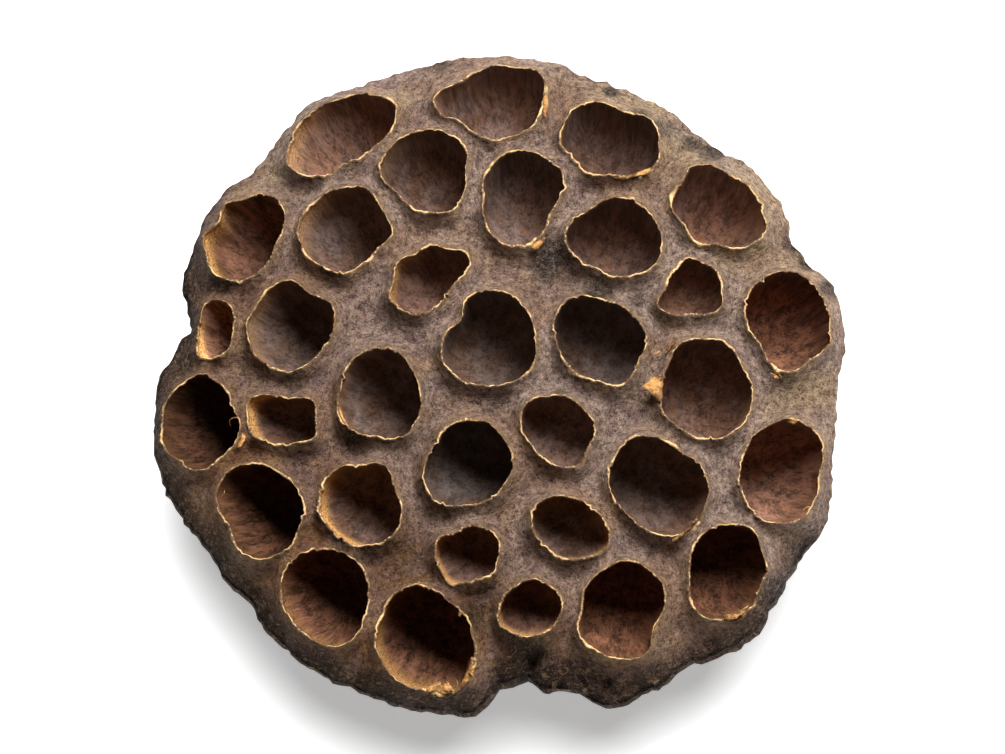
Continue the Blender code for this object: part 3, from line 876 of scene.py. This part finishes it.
# ------------------------------------------------------------------ torn flakes and loose fibres
# each flake: its corners in plan, with how far each lies above the mouth's edge in mm
FLAKES = (
    ((661, 374, 0.1), (652, 379, 0.5), (642, 387, 0.3), (649, 391, 0.4), (660, 402, 0.1), (663, 388, 0.1)),
    ((665, 355, 0.0), (667, 347, 0.4), (674, 340, 0.5), (676, 343, 0.2), (670, 349, 0.1)),
    ((243, 434, 0.1), (245, 439, 0.2), (241, 446, 0.1), (238, 448, 0.0), (239, 442, -0.3)),
    ((462, 613, 0.0), (460, 611, 0.3), (458, 614, 0.1), (460, 617, -0.1)),
    ((472, 657, 0.0), (474, 666, 0.2), (472, 676, 0.2), (465, 686, 0.2), (461, 686, 0.0), (463, 678, -0.8), (466, 668, -1.0), (469, 660, -0.5)),
    ((426, 690, 0.0), (431, 685, -0.3), (440, 679, -0.8), (442, 682, -0.5), (436, 687, 0.0), (430, 692, 0.1)),
    ((447, 679, -0.9), (450, 685, -0.5), (455, 690, 0.1), (450, 693, 0.1), (443, 690, 0.0)),
    ((724, 614, -0.1), (733, 611, -0.5), (742, 609, -0.4), (748, 605, 0.1), (746, 611, 0.2), (737, 618, 0.2), (727, 620, 0.2)),
    ((698, 515, 0.1), (696, 522, 0.3), (688, 531, 0.4), (678, 539, 0.5), (672, 541, 0.5), (681, 533, 0.1), (690, 524, 0.0)),
    ((785, 421, 0.1), (790, 418, 0.5), (797, 421, 0.4), (795, 424, 0.0), (789, 423, -0.2)),
    ((653, 166, 0.1), (648, 173, 0.3), (636, 177, 0.4), (620, 179, 0.3), (612, 177, 0.2), (622, 176, 0.0), (638, 173, 0.0)),
    ((530, 247, 0.0), (537, 242, 0.2), (544, 237, 0.3), (545, 241, 0.1), (537, 249, 0.1)),
    ((545, 96, 0.1), (548, 101, 0.2), (548, 110, 0.2), (544, 119, 0.1), (543, 110, 0.0)),
    ((771, 373, 0.0), (774, 377, 0.3), (779, 379, 0.2), (776, 375, -0.1)),
    ((665, 610, 0.0), (661, 618, 0.2), (655, 630, 0.2), (651, 643, 0.1), (650, 636, -0.4), (654, 624, -0.5), (660, 614, -0.3)),
    ((338, 404, 0.0), (340, 414, 0.2), (345, 424, 0.2), (350, 429, 0.1), (345, 420, -0.1), (341, 410, -0.1)),
)
FIBRES = (
    ((240, 420, 0.0), (237, 418, 0.5), (233, 419, 0.9), (230, 422, 0.8), (231, 427, 0.3)),
    ((425, 588, 0.1), (422, 586, 0.6), (419, 584, 0.8), (420, 581, 0.5)),
    ((221, 497, 0.1), (224, 495, 0.5), (225, 491, 0.5)), ((284, 603, 0.2), (287, 600, 0.6), (289, 601, 0.5)),
    ((660, 351, 0.2), (656, 354, 0.6), (652, 353, 0.5)), ((455, 688, 0.2), (458, 684, 0.7), (456, 679, 0.8)),
    ((470, 672, 0.3), (474, 679, 0.5), (473, 684, 0.2)), ((443, 688, 0.1), (438, 684, 0.4), (433, 686, 0.3)),
    ((782, 378, 0.2), (777, 373, 0.6), (773, 374, 0.3)), ((802, 512, 0.2), (806, 508, 0.6), (810, 507, 0.5)),
)
EDGE_LIFT = 0.72 * RIM_RISE + 0.6 * LIP_TALL - 0.0003


def above_edge(x, y, lift):
    """A spot in plan, that many millimetres above the height of the mouths' edges."""
    lift = EDGE_LIFT + lift / 1000
    place = on_face(x, y, lift)
    return np.column_stack([place, dome(place) + lift])


lip_side = dict(gaps=0.0, side=0.0, golden_and_lit=0.5, red=0.3, painted_light_and_flake_mark=0.55)
for number, corners in enumerate(FLAKES):
    corner = np.array(corners, float)
    turns = np.arange(4 * len(corner)) / (4 * len(corner))
    x, y, lift = (around(corner[:, axis], turns) for axis in range(3))
    edge = above_edge(x, y, 0.0)
    edge[:, 2] += lift / 1000
    edge += 0.00006 * np.random.default_rng(100 + number).normal(size=edge.shape)
    middle = edge.mean(axis=0)
    half = middle + (edge - middle) * 0.5
    half[:, 2] += 0.00005 * np.random.default_rng(200 + number).normal(size=len(half))
    down = np.array([0, 0, 0.00007])
    top_edge, top_half = add_block(edge, **lip_side), add_block(half + down * 0.5, **lip_side)
    low_edge, low_half = add_block(edge - down, **lip_side), add_block(half - down, **lip_side)
    top_tip = add_block((middle + down)[None], **lip_side)
    low_tip = add_block((middle - down)[None], **lip_side)
    for upper, lower in ((top_edge, low_edge), (top_half, top_edge), (low_edge, low_half)):
        band(upper, lower, 1)
    for loop, tip in ((top_half, top_tip), (low_half, low_tip)):
        tris.append(np.column_stack([loop, np.roll(loop, -1), np.full(len(loop), tip[0])]))
        face_kind.append(np.full(len(loop), 1))

for number, path in enumerate(FIBRES):
    knots = np.array(path, float)
    stops = np.linspace(0, 1, 3 * len(knots))
    place = np.linspace(0, 1, len(knots))
    x, y, lift = (smooth_table(place, knots[:, axis], stops) for axis in range(3))
    spine = above_edge(x, y, 0.0)
    spine[:, 2] += lift / 1000
    ring_before = None
    for step, spot in enumerate(spine):
        size = 0.00011 * (1 - 0.6 * step / len(spine))
        ahead = spine[min(step + 1, len(spine) - 1)] - spine[max(step - 1, 0)]
        ahead /= np.linalg.norm(ahead)
        wide = np.cross(ahead, [0.3, 0.2, 0.93])
        wide /= np.linalg.norm(wide)
        tall_way = np.cross(wide, ahead)
        spokes = [
            spot + size * (math.cos(t) * wide + math.sin(t) * tall_way)
            for t in np.arange(5) * 2 * math.pi / 5
        ]
        here = add_block(np.array(spokes), **lip_side)
        if ring_before is None:
            cap = here
        else:
            band(ring_before, here, 1)
        ring_before = here
    for loop in (cap, ring_before):
        tris.append(np.column_stack([np.full(3, loop[0]), loop[1:4], loop[2:5]]))
        face_kind.append(np.full(3, 1))

# ------------------------------------------------------------------ one mesh of it all
points = np.concatenate(verts)
tri_faces = np.concatenate(tris)
tri_kinds = np.concatenate(face_kind)
quad_faces = np.concatenate([quad for quad, _ in quads])
quad_kinds = np.concatenate([np.full(len(quad), kind) for quad, kind in quads])
mesh = bpy.data.meshes.new("lotus_pod_fine")
mesh.from_pydata(
    points.tolist(), [], [tuple(f) for f in tri_faces.tolist()] + [tuple(f) for f in quad_faces.tolist()]
)
kinds = np.concatenate([tri_kinds, quad_kinds]).astype(np.int32)
mesh.polygons.foreach_set("material_index", kinds)
mesh.polygons.foreach_set("use_smooth", np.ones(len(kinds), bool))
for name in ("gap", "side", "depth", "golden_and_lit", "red", "painted_light_and_flake_mark"):
    layer = mesh.attributes.new(name, "FLOAT", "POINT")
    layer.data.foreach_set("value", np.concatenate(info[name]).astype(np.float32))
for name in ("grain", "tint_and_painted_light"):
    layer = mesh.attributes.new(name, "FLOAT_VECTOR", "POINT")
    layer.data.foreach_set("vector", np.concatenate(info[name]).astype(np.float32).ravel())

body = bmesh.new()
body.from_mesh(mesh)
loose = [v for v in body.verts if not v.link_faces]
bmesh.ops.delete(body, geom=loose, context="VERTS")
bmesh.ops.recalc_face_normals(body, faces=body.faces)
open_edges = sum(1 for e in body.edges if len(e.link_faces) != 2)
triangles = sum(len(f.verts) - 2 for f in body.faces)
body.to_mesh(mesh)
body.free()
print("pod: open edges", open_edges, "triangles", triangles)

pod = bpy.data.objects.new("lotus_pod_body", mesh)
bpy.context.scene.collection.objects.link(pod)


# ------------------------------------------------------------------ materials
class Nodes:
    def __init__(self, name):
        self.material = bpy.data.materials.new(name)
        self.material.use_nodes = True
        self.tree = self.material.node_tree
        self.shader = self.tree.nodes["Principled BSDF"]

    def add(self, kind, **settings):
        node = self.tree.nodes.new(kind)
        for key, value in settings.items():
            setattr(node, key, value)
        return node

    def link(self, source, target):
        self.tree.links.new(source, target)

    def put(self, node, name, value):
        target = node.inputs[name]
        if hasattr(value, "is_output"):
            self.link(value, target)
        else:
            target.default_value = value

    def attribute(self, name):
        node = self.add("ShaderNodeAttribute", attribute_name=name)
        return node

    def noise(self, vector, scale, detail=4.0, rough=0.55, distort=0.0):
        node = self.add("ShaderNodeTexNoise")
        self.put(node, "Vector", vector)
        self.put(node, "Scale", scale)
        self.put(node, "Detail", detail)
        self.put(node, "Roughness", rough)
        self.put(node, "Distortion", distort)
        return node.outputs["Fac"]

    def math(self, operation, a, b=0.0, clamp=False):
        node = self.add("ShaderNodeMath", operation=operation, use_clamp=clamp)
        for socket, value in zip(node.inputs, (a, b)):
            if hasattr(value, "is_output"):
                self.link(value, socket)
            else:
                socket.default_value = value
        return node.outputs[0]

    def ramp(self, value, low, high, smooth=True):
        node = self.add("ShaderNodeMapRange")
        node.interpolation_type = "SMOOTHSTEP" if smooth else "LINEAR"
        self.put(node, "Value", value)
        self.put(node, "From Min", low)
        self.put(node, "From Max", high)
        return node.outputs["Result"]

    def mix(self, part, a, b, blend="MIX"):
        node = self.add("ShaderNodeMix", data_type="RGBA", blend_type=blend)
        colours = [s for s in node.inputs if s.type == "RGBA"]
        factor = node.inputs[0]
        if hasattr(part, "is_output"):
            self.link(part, factor)
        else:
            factor.default_value = part
        for socket, value in zip(colours, (a, b)):
            if hasattr(value, "is_output"):
                self.link(value, socket)
            else:
                socket.default_value = (*value, 1.0) if len(value) == 3 else value
        return [s for s in node.outputs if s.type == "RGBA"][0]

    def stretch(self, vector, scale):
        node = self.add("ShaderNodeVectorMath", operation="MULTIPLY")
        self.link(vector, node.inputs[0])
        node.inputs[1].default_value = scale
        return node.outputs[0]

    def bump(self, height, strength, distance, normal=None):
        node = self.add("ShaderNodeBump")
        self.put(node, "Height", height)
        self.put(node, "Strength", strength)
        self.put(node, "Distance", distance)
        if normal is not None:
            self.link(normal, node.inputs["Normal"])
        return node.outputs["Normal"]


def shade(red, green, blue):
    """Linear colour from a display colour given in 0 to 255."""
    out = []
    for value in (red, green, blue):
        value /= 255
        out.append(value / 12.92 if value <= 0.04045 else ((value + 0.055) / 1.055) ** 2.4)
    return tuple(out)


def skin_material():
    m = Nodes("dried_leathery_skin")
    grain = m.attribute("grain").outputs["Vector"]
    gap_at = m.attribute("gap").outputs["Fac"]
    side = m.attribute("side").outputs["Fac"]
    tint_and_painted_light = m.add("ShaderNodeSeparateXYZ")
    m.link(m.attribute("tint_and_painted_light").outputs["Vector"], tint_and_painted_light.inputs[0])
    tan_at, warm_and_shade_at, dark_and_shade_at = tint_and_painted_light.outputs
    # faint fibres that run round the mouths: quick change away from a mouth, slow along it
    parts = m.add("ShaderNodeSeparateXYZ")
    m.link(grain, parts.inputs[0])
    fibre_space = m.add("ShaderNodeCombineXYZ")
    m.link(m.math("MULTIPLY", parts.outputs[0], 1.5), fibre_space.inputs[0])
    m.link(m.math("MULTIPLY", parts.outputs[1], 1.5), fibre_space.inputs[1])
    m.link(m.math("MULTIPLY", gap_at, 4.4), fibre_space.inputs[2])
    fibre = m.noise(fibre_space.outputs[0], 1.0, 5.0, 0.75, 0.1)
    broad = m.noise(grain, 0.085, 3.0, 0.55, 0.4)
    patch = m.noise(grain, 0.40, 5.0, 0.66, 0.5)
    felt = m.noise(grain, 1.1, 7.0, 0.80, 0.2)
    speck = m.noise(grain, 4.2, 4.0, 0.78)
    mottle = m.math("ADD", m.math("MULTIPLY", felt, 0.46), m.math("MULTIPLY", speck, 0.30))
    mottle = m.math("ADD", mottle, m.math("MULTIPLY", fibre, 0.24))
    tone = m.ramp(mottle, 0.385, 0.615)
    colour = m.mix(tone, shade(74, 58, 53), shade(240, 210, 192))
    plum = m.mix(tone, shade(62, 47, 45), shade(196, 164, 156))
    colour = m.mix(m.math("MULTIPLY", m.ramp(patch, 0.52, 0.40), 0.7), colour, plum)
    brown = m.mix(tone, shade(76, 51, 39), shade(226, 180, 140))
    colour = m.mix(m.math("MULTIPLY", m.ramp(broad, 0.46, 0.60), 0.55), colour, brown)
    blend = m.noise(grain, 0.75, 4.0, 0.65, 0.3)
    colour = m.mix(m.math("MULTIPLY", m.ramp(blend, 0.54, 0.66), 0.40), colour, m.mix(
        tone, shade(84, 58, 40), shade(208, 162, 116)))
    # reddish-brown skin colour, and painted shade that deepens the lower left, taken from the second channel
    warm_and_shade = m.math("MULTIPLY", warm_and_shade_at, m.ramp(patch, -0.1, 0.62), True)
    ember = m.mix(tone, shade(54, 33, 24), shade(162, 110, 76))
    ember = m.mix(m.math("MULTIPLY", m.ramp(patch, 0.50, 0.64), 0.6), ember, m.mix(
        tone, shade(80, 56, 34), shade(200, 154, 98)))
    colour = m.mix(m.math("MULTIPLY", warm_and_shade, 0.95), colour, ember)
    # painted shade: the skin is made a deeper plum in the valleys between the mouths, away from the raised
    # rings
    painted_valley_shade = m.math("MULTIPLY", m.ramp(gap_at, 0.7, 2.6), m.ramp(patch, 0.62, 0.36))
    colour = m.mix(m.math("MULTIPLY", painted_valley_shade, 0.55), colour, m.mix(
        tone, shade(56, 42, 41), shade(176, 146, 140)))
    # lighter tan on the raised rings round the mouths: partly the skin's own tan, partly painted light on the
    # rings
    collar_tan_and_light = m.ramp(gap_at, 1.5, 0.2)
    collar_tan_and_light = m.math("MULTIPLY", collar_tan_and_light, m.ramp(patch, 0.30, 0.62))
    colour = m.mix(m.math("MULTIPLY", collar_tan_and_light, 0.55), colour, m.mix(
        tone, shade(112, 82, 60), shade(218, 180, 140)))
    tan = m.math("MULTIPLY", tan_at, m.ramp(mottle, 0.30, 0.62), True)
    colour = m.mix(m.math("MULTIPLY", tan, 0.85), colour, m.mix(
        tone, shade(122, 94, 66), shade(244, 214, 170)))
    # the skin's own blackish and blue-grey patches, and painted shade at the lower-left outline and along the
    # left, taken from the third channel
    dark_and_shade = m.math("MULTIPLY", dark_and_shade_at, m.ramp(patch, 0.12, 0.60), True)
    slate = m.mix(tone, shade(30, 30, 34), shade(118, 115, 118))
    char = m.mix(tone, shade(32, 24, 20), shade(116, 94, 78))
    colour = m.mix(m.math("MULTIPLY", dark_and_shade, 0.92), colour, m.mix(
        m.ramp(warm_and_shade_at, 0.10, 0.40), slate, char))
    fleck = m.ramp(speck, 0.60, 0.70)
    colour = m.mix(m.math("MULTIPLY", fleck, 0.42), colour, shade(190, 146, 96))
    pit = m.ramp(speck, 0.42, 0.32)
    colour = m.mix(m.math("MULTIPLY", pit, 0.55), colour, shade(44, 34, 30))
    rare = m.noise(grain, 3.1, 1.0, 0.4)
    colour = m.mix(m.math("MULTIPLY", m.ramp(rare, 0.735, 0.77), 0.7), colour, shade(214, 206, 198))
    # lighter tan right at the foot of each lip: partly the skin's own tan, partly painted light
    near = m.ramp(gap_at, 0.50, 0.08)
    near = m.math("MULTIPLY", near, m.ramp(patch, 0.34, 0.60))
    colour = m.mix(m.math("MULTIPLY", near, 0.6), colour, shade(176, 138, 94))
    streaks = m.stretch(grain, (1.0, 1.0, 0.16))
    streak = m.noise(streaks, 0.85, 6.0, 0.70, 0.4)
    fine = m.noise(streaks, 2.6, 4.0, 0.7)
    back = m.mix(m.ramp(streak, 0.34, 0.66), shade(40, 31, 26), shade(112, 92, 76))
    back = m.mix(m.math("MULTIPLY", m.ramp(fine, 0.5, 0.72), 0.35), back, shade(128, 112, 100))
    back = m.mix(m.math("MULTIPLY", m.ramp(broad, 0.5, 0.66), 0.4), back, shade(104, 74, 48))
    turned = m.math("ADD", side, m.math("MULTIPLY", m.math("SUBTRACT", patch, 0.5), 0.9))
    colour = m.mix(m.ramp(turned, 0.52, 0.95), colour, back)
    # crusty, cracked ground where the third channel is strongest (blackish patches and painted shade):
    # near-black painted shadow in the cracks, a pale painted highlight on the ridge tops
    crust = m.noise(grain, 0.85, 7.0, 0.74, 0.9)
    ridge = m.math("ABSOLUTE", m.math("SUBTRACT", crust, 0.5))
    crusty = m.ramp(dark_and_shade_at, 0.12, 0.55)
    crack_shadow = m.math("MULTIPLY", m.ramp(ridge, 0.050, 0.005), crusty)
    colour = m.mix(m.math("MULTIPLY", crack_shadow, 0.75), colour, shade(14, 11, 10))
    crest_highlight = m.math("MULTIPLY", m.ramp(ridge, 0.07, 0.13), crusty)
    colour = m.mix(m.math("MULTIPLY", crest_highlight, 0.75), colour, shade(188, 156, 124))
    m.put(m.shader, "Base Color", colour)
    m.put(m.shader, "Roughness", m.ramp(felt, -2.2, 1.2, False))
    m.put(m.shader, "Specular IOR Level", 0.05)
    height = m.math("ADD", m.math("MULTIPLY", felt, 1.3), m.math("MULTIPLY", speck, 0.35))
    height = m.math("ADD", height, m.math("MULTIPLY", fibre, 0.35))
    height = m.math("ADD", height, m.math("MULTIPLY", blend, 0.8))
    height = m.math("ADD", height, m.math("MULTIPLY", m.math("MULTIPLY", ridge, crusty), 9.0))
    first = m.bump(height, 1.0, 0.0012)
    lines = m.bump(m.math("MULTIPLY", streak, m.ramp(side, 0.4, 0.9)), 0.8, 0.0009, first)
    m.put(m.shader, "Normal", lines)
    return m.material


def lip_material():
    m = Nodes("papery_lip")
    place = m.add("ShaderNodeTexCoord").outputs["Object"]
    broad = m.noise(place, 340.0, 3.0, 0.6, 0.5)
    fine = m.noise(place, 2600.0, 4.0, 0.70)
    colour = m.mix(m.ramp(broad, 0.42, 0.60), shade(108, 76, 50), shade(230, 188, 130))
    colour = m.mix(m.math("MULTIPLY", m.ramp(fine, 0.52, 0.68), 0.65), colour, shade(255, 236, 196))
    colour = m.mix(m.math("MULTIPLY", m.ramp(fine, 0.47, 0.33), 0.75), colour, shade(92, 62, 40))
    # the same attribute carries each cell lining's painted light level; torn flakes carry 0.55 there, which
    # marks them here for a deeper yellow-brown colour
    torn = m.ramp(m.attribute("painted_light_and_flake_mark").outputs["Fac"], 1.0, 0.5)
    colour = m.mix(torn, colour, m.mix(1.0, colour, (0.74, 0.57, 0.36), "MULTIPLY"))
    m.put(m.shader, "Base Color", colour)
    m.put(m.shader, "Roughness", 0.62)
    m.put(m.shader, "Specular IOR Level", 0.35)
    m.put(m.shader, "Normal", m.bump(fine, 0.5, 0.00018))
    return m.material


def cell_material():
    m = Nodes("silky_cell_lining")
    grain = m.attribute("grain").outputs["Vector"]
    depth = m.attribute("depth").outputs["Fac"]
    golden_and_lit = m.attribute("golden_and_lit").outputs["Fac"]
    red = m.attribute("red").outputs["Fac"]
    inside = m.stretch(grain, (1.0, 1.0, 0.07))
    streak = m.noise(inside, 0.80, 5.0, 0.66, 0.30)
    fine = m.noise(inside, 3.2, 4.0, 0.72, 0.2)
    cloud = m.noise(grain, 0.16, 3.0, 0.55, 0.4)
    granular = m.noise(grain, 3.4, 4.0, 0.72)
    line = m.math("ADD", m.math("MULTIPLY", streak, 0.55), m.math("MULTIPLY", fine, 0.45))
    tone = m.ramp(line, 0.37, 0.62)
    mauve = m.mix(tone, shade(90, 77, 73), shade(142, 126, 119))
    umber = m.mix(tone, shade(78, 60, 51), shade(130, 104, 88))
    base = m.mix(m.ramp(cloud, 0.40, 0.60), mauve, umber)
    rust = m.mix(tone, shade(60, 37, 29), shade(184, 122, 90))
    rust = m.mix(m.math("MULTIPLY", m.ramp(cloud, 0.42, 0.62), 0.35), rust, shade(88, 66, 56))
    rust = m.mix(m.math("MULTIPLY", m.ramp(granular, 0.56, 0.66), 0.35), rust, shade(200, 130, 80))
    base = m.mix(red, base, rust)
    # yellow-ochre on the wall the key light reaches near the mouth: partly the lining's own colour, partly
    # painted light; its mask is named lit
    ochre = m.mix(m.ramp(granular, 0.40, 0.60), shade(140, 88, 46), shade(255, 200, 124))
    fade = m.ramp(m.math("ADD", depth, m.math("MULTIPLY", cloud, 0.35)), 0.70, 0.22)
    lit = m.math("MULTIPLY", m.math("MULTIPLY", golden_and_lit, 1.5), fade, True)
    lit = m.math("MULTIPLY", lit, m.ramp(granular, 0.20, 0.52))
    colour = m.mix(lit, base, ochre)
    rim = m.ramp(depth, 0.040, 0.0)
    colour = m.mix(m.math("MULTIPLY", rim, 0.7), colour, shade(140, 104, 68))
    dust = m.ramp(granular, 0.66, 0.74)
    colour = m.mix(m.math("MULTIPLY", dust, 0.35), colour, shade(176, 122, 70))
    scar = m.math("MULTIPLY", m.ramp(depth, 0.962, 0.992), m.ramp(granular, 0.42, 0.56))
    colour = m.mix(m.math("MULTIPLY", scar, 0.7), colour, shade(138, 88, 48))
    # painted light and shade: each lining is multiplied by its cell's own light level, and lifted further on
    # the lit ochre wall
    painted_light_and_flake_mark = m.attribute("painted_light_and_flake_mark").outputs["Fac"]
    painted_light_and_flake_mark = m.math("MULTIPLY", painted_light_and_flake_mark, m.math("ADD", 0.86, m.math("MULTIPLY", lit, 0.35)))
    colour = m.mix(1.0, colour, painted_light_and_flake_mark, "MULTIPLY")
    m.put(m.shader, "Base Color", colour)
    m.put(m.shader, "Roughness", m.ramp(fine, -0.9, 1.7, False))
    m.put(m.shader, "Specular IOR Level", 0.14)
    height = m.math("ADD", line, m.math("MULTIPLY", granular, 0.15))
    m.put(m.shader, "Normal", m.bump(height, 0.6, 0.00030))
    return m.material


def cut_material():
    m = Nodes("cut_stem_pith")
    place = m.add("ShaderNodeTexCoord").outputs["Object"]
    pith = m.noise(place, 900.0, 4.0, 0.65)
    fibre = m.noise(place, 3200.0, 3.0, 0.7)
    colour = m.mix(m.ramp(pith, 0.32, 0.68), shade(92, 70, 52), shade(168, 140, 106))
    colour = m.mix(m.math("MULTIPLY", m.ramp(fibre, 0.45, 0.3), 0.6), colour, shade(60, 46, 36))
    m.put(m.shader, "Base Color", colour)
    m.put(m.shader, "Roughness", 0.86)
    m.put(m.shader, "Normal", m.bump(fibre, 0.5, 0.0003))
    return m.material


for material in (skin_material(), lip_material(), cell_material(), cut_material()):
    mesh.materials.append(material)
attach(pod, "root")
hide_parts("lotus_pod")

# ------------------------------------------------------------------ floor, light, camera
bpy.ops.mesh.primitive_plane_add(size=6.0, location=(0, 0, -0.0001))
floor = bpy.context.object
floor.name = "pale_floor"
paper = Nodes("pale_floor_paper")
place = paper.add("ShaderNodeTexCoord").outputs["Object"]
tone = paper.noise(place, 3.0, 3.0)
paper.put(
    paper.shader, "Base Color",
    paper.mix(paper.ramp(tone, 0.3, 0.7), (0.90, 0.90, 0.90), (0.92, 0.92, 0.92)),
)
paper.put(paper.shader, "Emission Color", (1.0, 1.0, 1.0, 1.0))
paper.put(paper.shader, "Emission Strength", 0.40)
paper.put(paper.shader, "Roughness", 0.9)
paper.put(paper.shader, "Specular IOR Level", 0.1)
floor.data.materials.append(paper.material)
floor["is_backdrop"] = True


def area_light(name, place, aim, size, power, colour=(1, 1, 1)):
    data = bpy.data.lights.new(name, "AREA")
    data.shape = "DISK"
    data.size = size
    data.energy = power
    data.color = colour
    light = bpy.data.objects.new(name, data)
    bpy.context.scene.collection.objects.link(light)
    light.location = place
    direction = Vector(aim) - Vector(place)
    light.rotation_euler = direction.to_track_quat("-Z", "Y").to_euler()
    return light


def from_sky(turn, rise, far):
    """A place that far from the pod's face, at a compass turn from +X and a rise, in degrees."""
    turn, rise = math.radians(turn), math.radians(rise)
    return (
        far * math.cos(rise) * math.cos(turn),
        far * math.cos(rise) * math.sin(turn),
        0.045 + far * math.sin(rise),
    )


aim = (0.0, 0.0, 0.045)
key = area_light("key", from_sky(60, 58, 0.60), aim, 0.32, 7.3, (1.0, 0.985, 0.96))
above = area_light("above", from_sky(52, 80, 1.3), aim, 0.50, 36.0)
lit_floor = bpy.data.collections.new("lit_from_above")
lit_floor.objects.link(floor)
above.light_linking.receiver_collection = lit_floor
lit_pod = bpy.data.collections.new("lit_by_key")
lit_pod.objects.link(pod)
key.light_linking.receiver_collection = lit_pod


world = bpy.data.worlds.new("studio")
world.use_nodes = True
tree = world.node_tree
sky = tree.nodes["Background"]
sky.inputs["Strength"].default_value = 0.45
where = tree.nodes.new("ShaderNodeTexCoord")
split = tree.nodes.new("ShaderNodeSeparateXYZ")
level = tree.nodes.new("ShaderNodeMapRange")
level.interpolation_type = "SMOOTHSTEP"
level.inputs["From Min"].default_value = 0.10
level.inputs["From Max"].default_value = 0.45
level.inputs["To Min"].default_value = 1.0
level.inputs["To Max"].default_value = 0.03
tree.links.new(where.outputs["Generated"], split.inputs[0])
tree.links.new(split.outputs[2], level.inputs["Value"])
tree.links.new(level.outputs[0], sky.inputs["Color"])
bpy.context.scene.world = world
bpy.context.scene.view_settings.view_transform = "Standard"

camera_data = bpy.data.cameras.new("camera")
camera_data.sensor_width = 36.0
camera_data.lens = 36.0 * VIEW_DISTANCE / (1005 * PLAN_UNIT)
camera_data.clip_start = 0.05
camera = bpy.data.objects.new("camera", camera_data)
bpy.context.scene.collection.objects.link(camera)
camera.location = view_place.tolist()
camera.rotation_euler = (
    Matrix((view_right.tolist(), view_up.tolist(), VIEW_BACK.tolist())).transposed().to_euler()
)
bpy.context.scene.camera = camera

bpy.context.view_layer.update()
now_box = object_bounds()


def plain(value):
    if isinstance(value, dict):
        return {str(k): plain(v) for k, v in value.items()}
    if hasattr(value, "__len__") and not isinstance(value, str):
        return [plain(v) for v in value]
    return value if isinstance(value, str) else float(value)


{"cad": plain(cad_box), "visual": plain(now_box)}
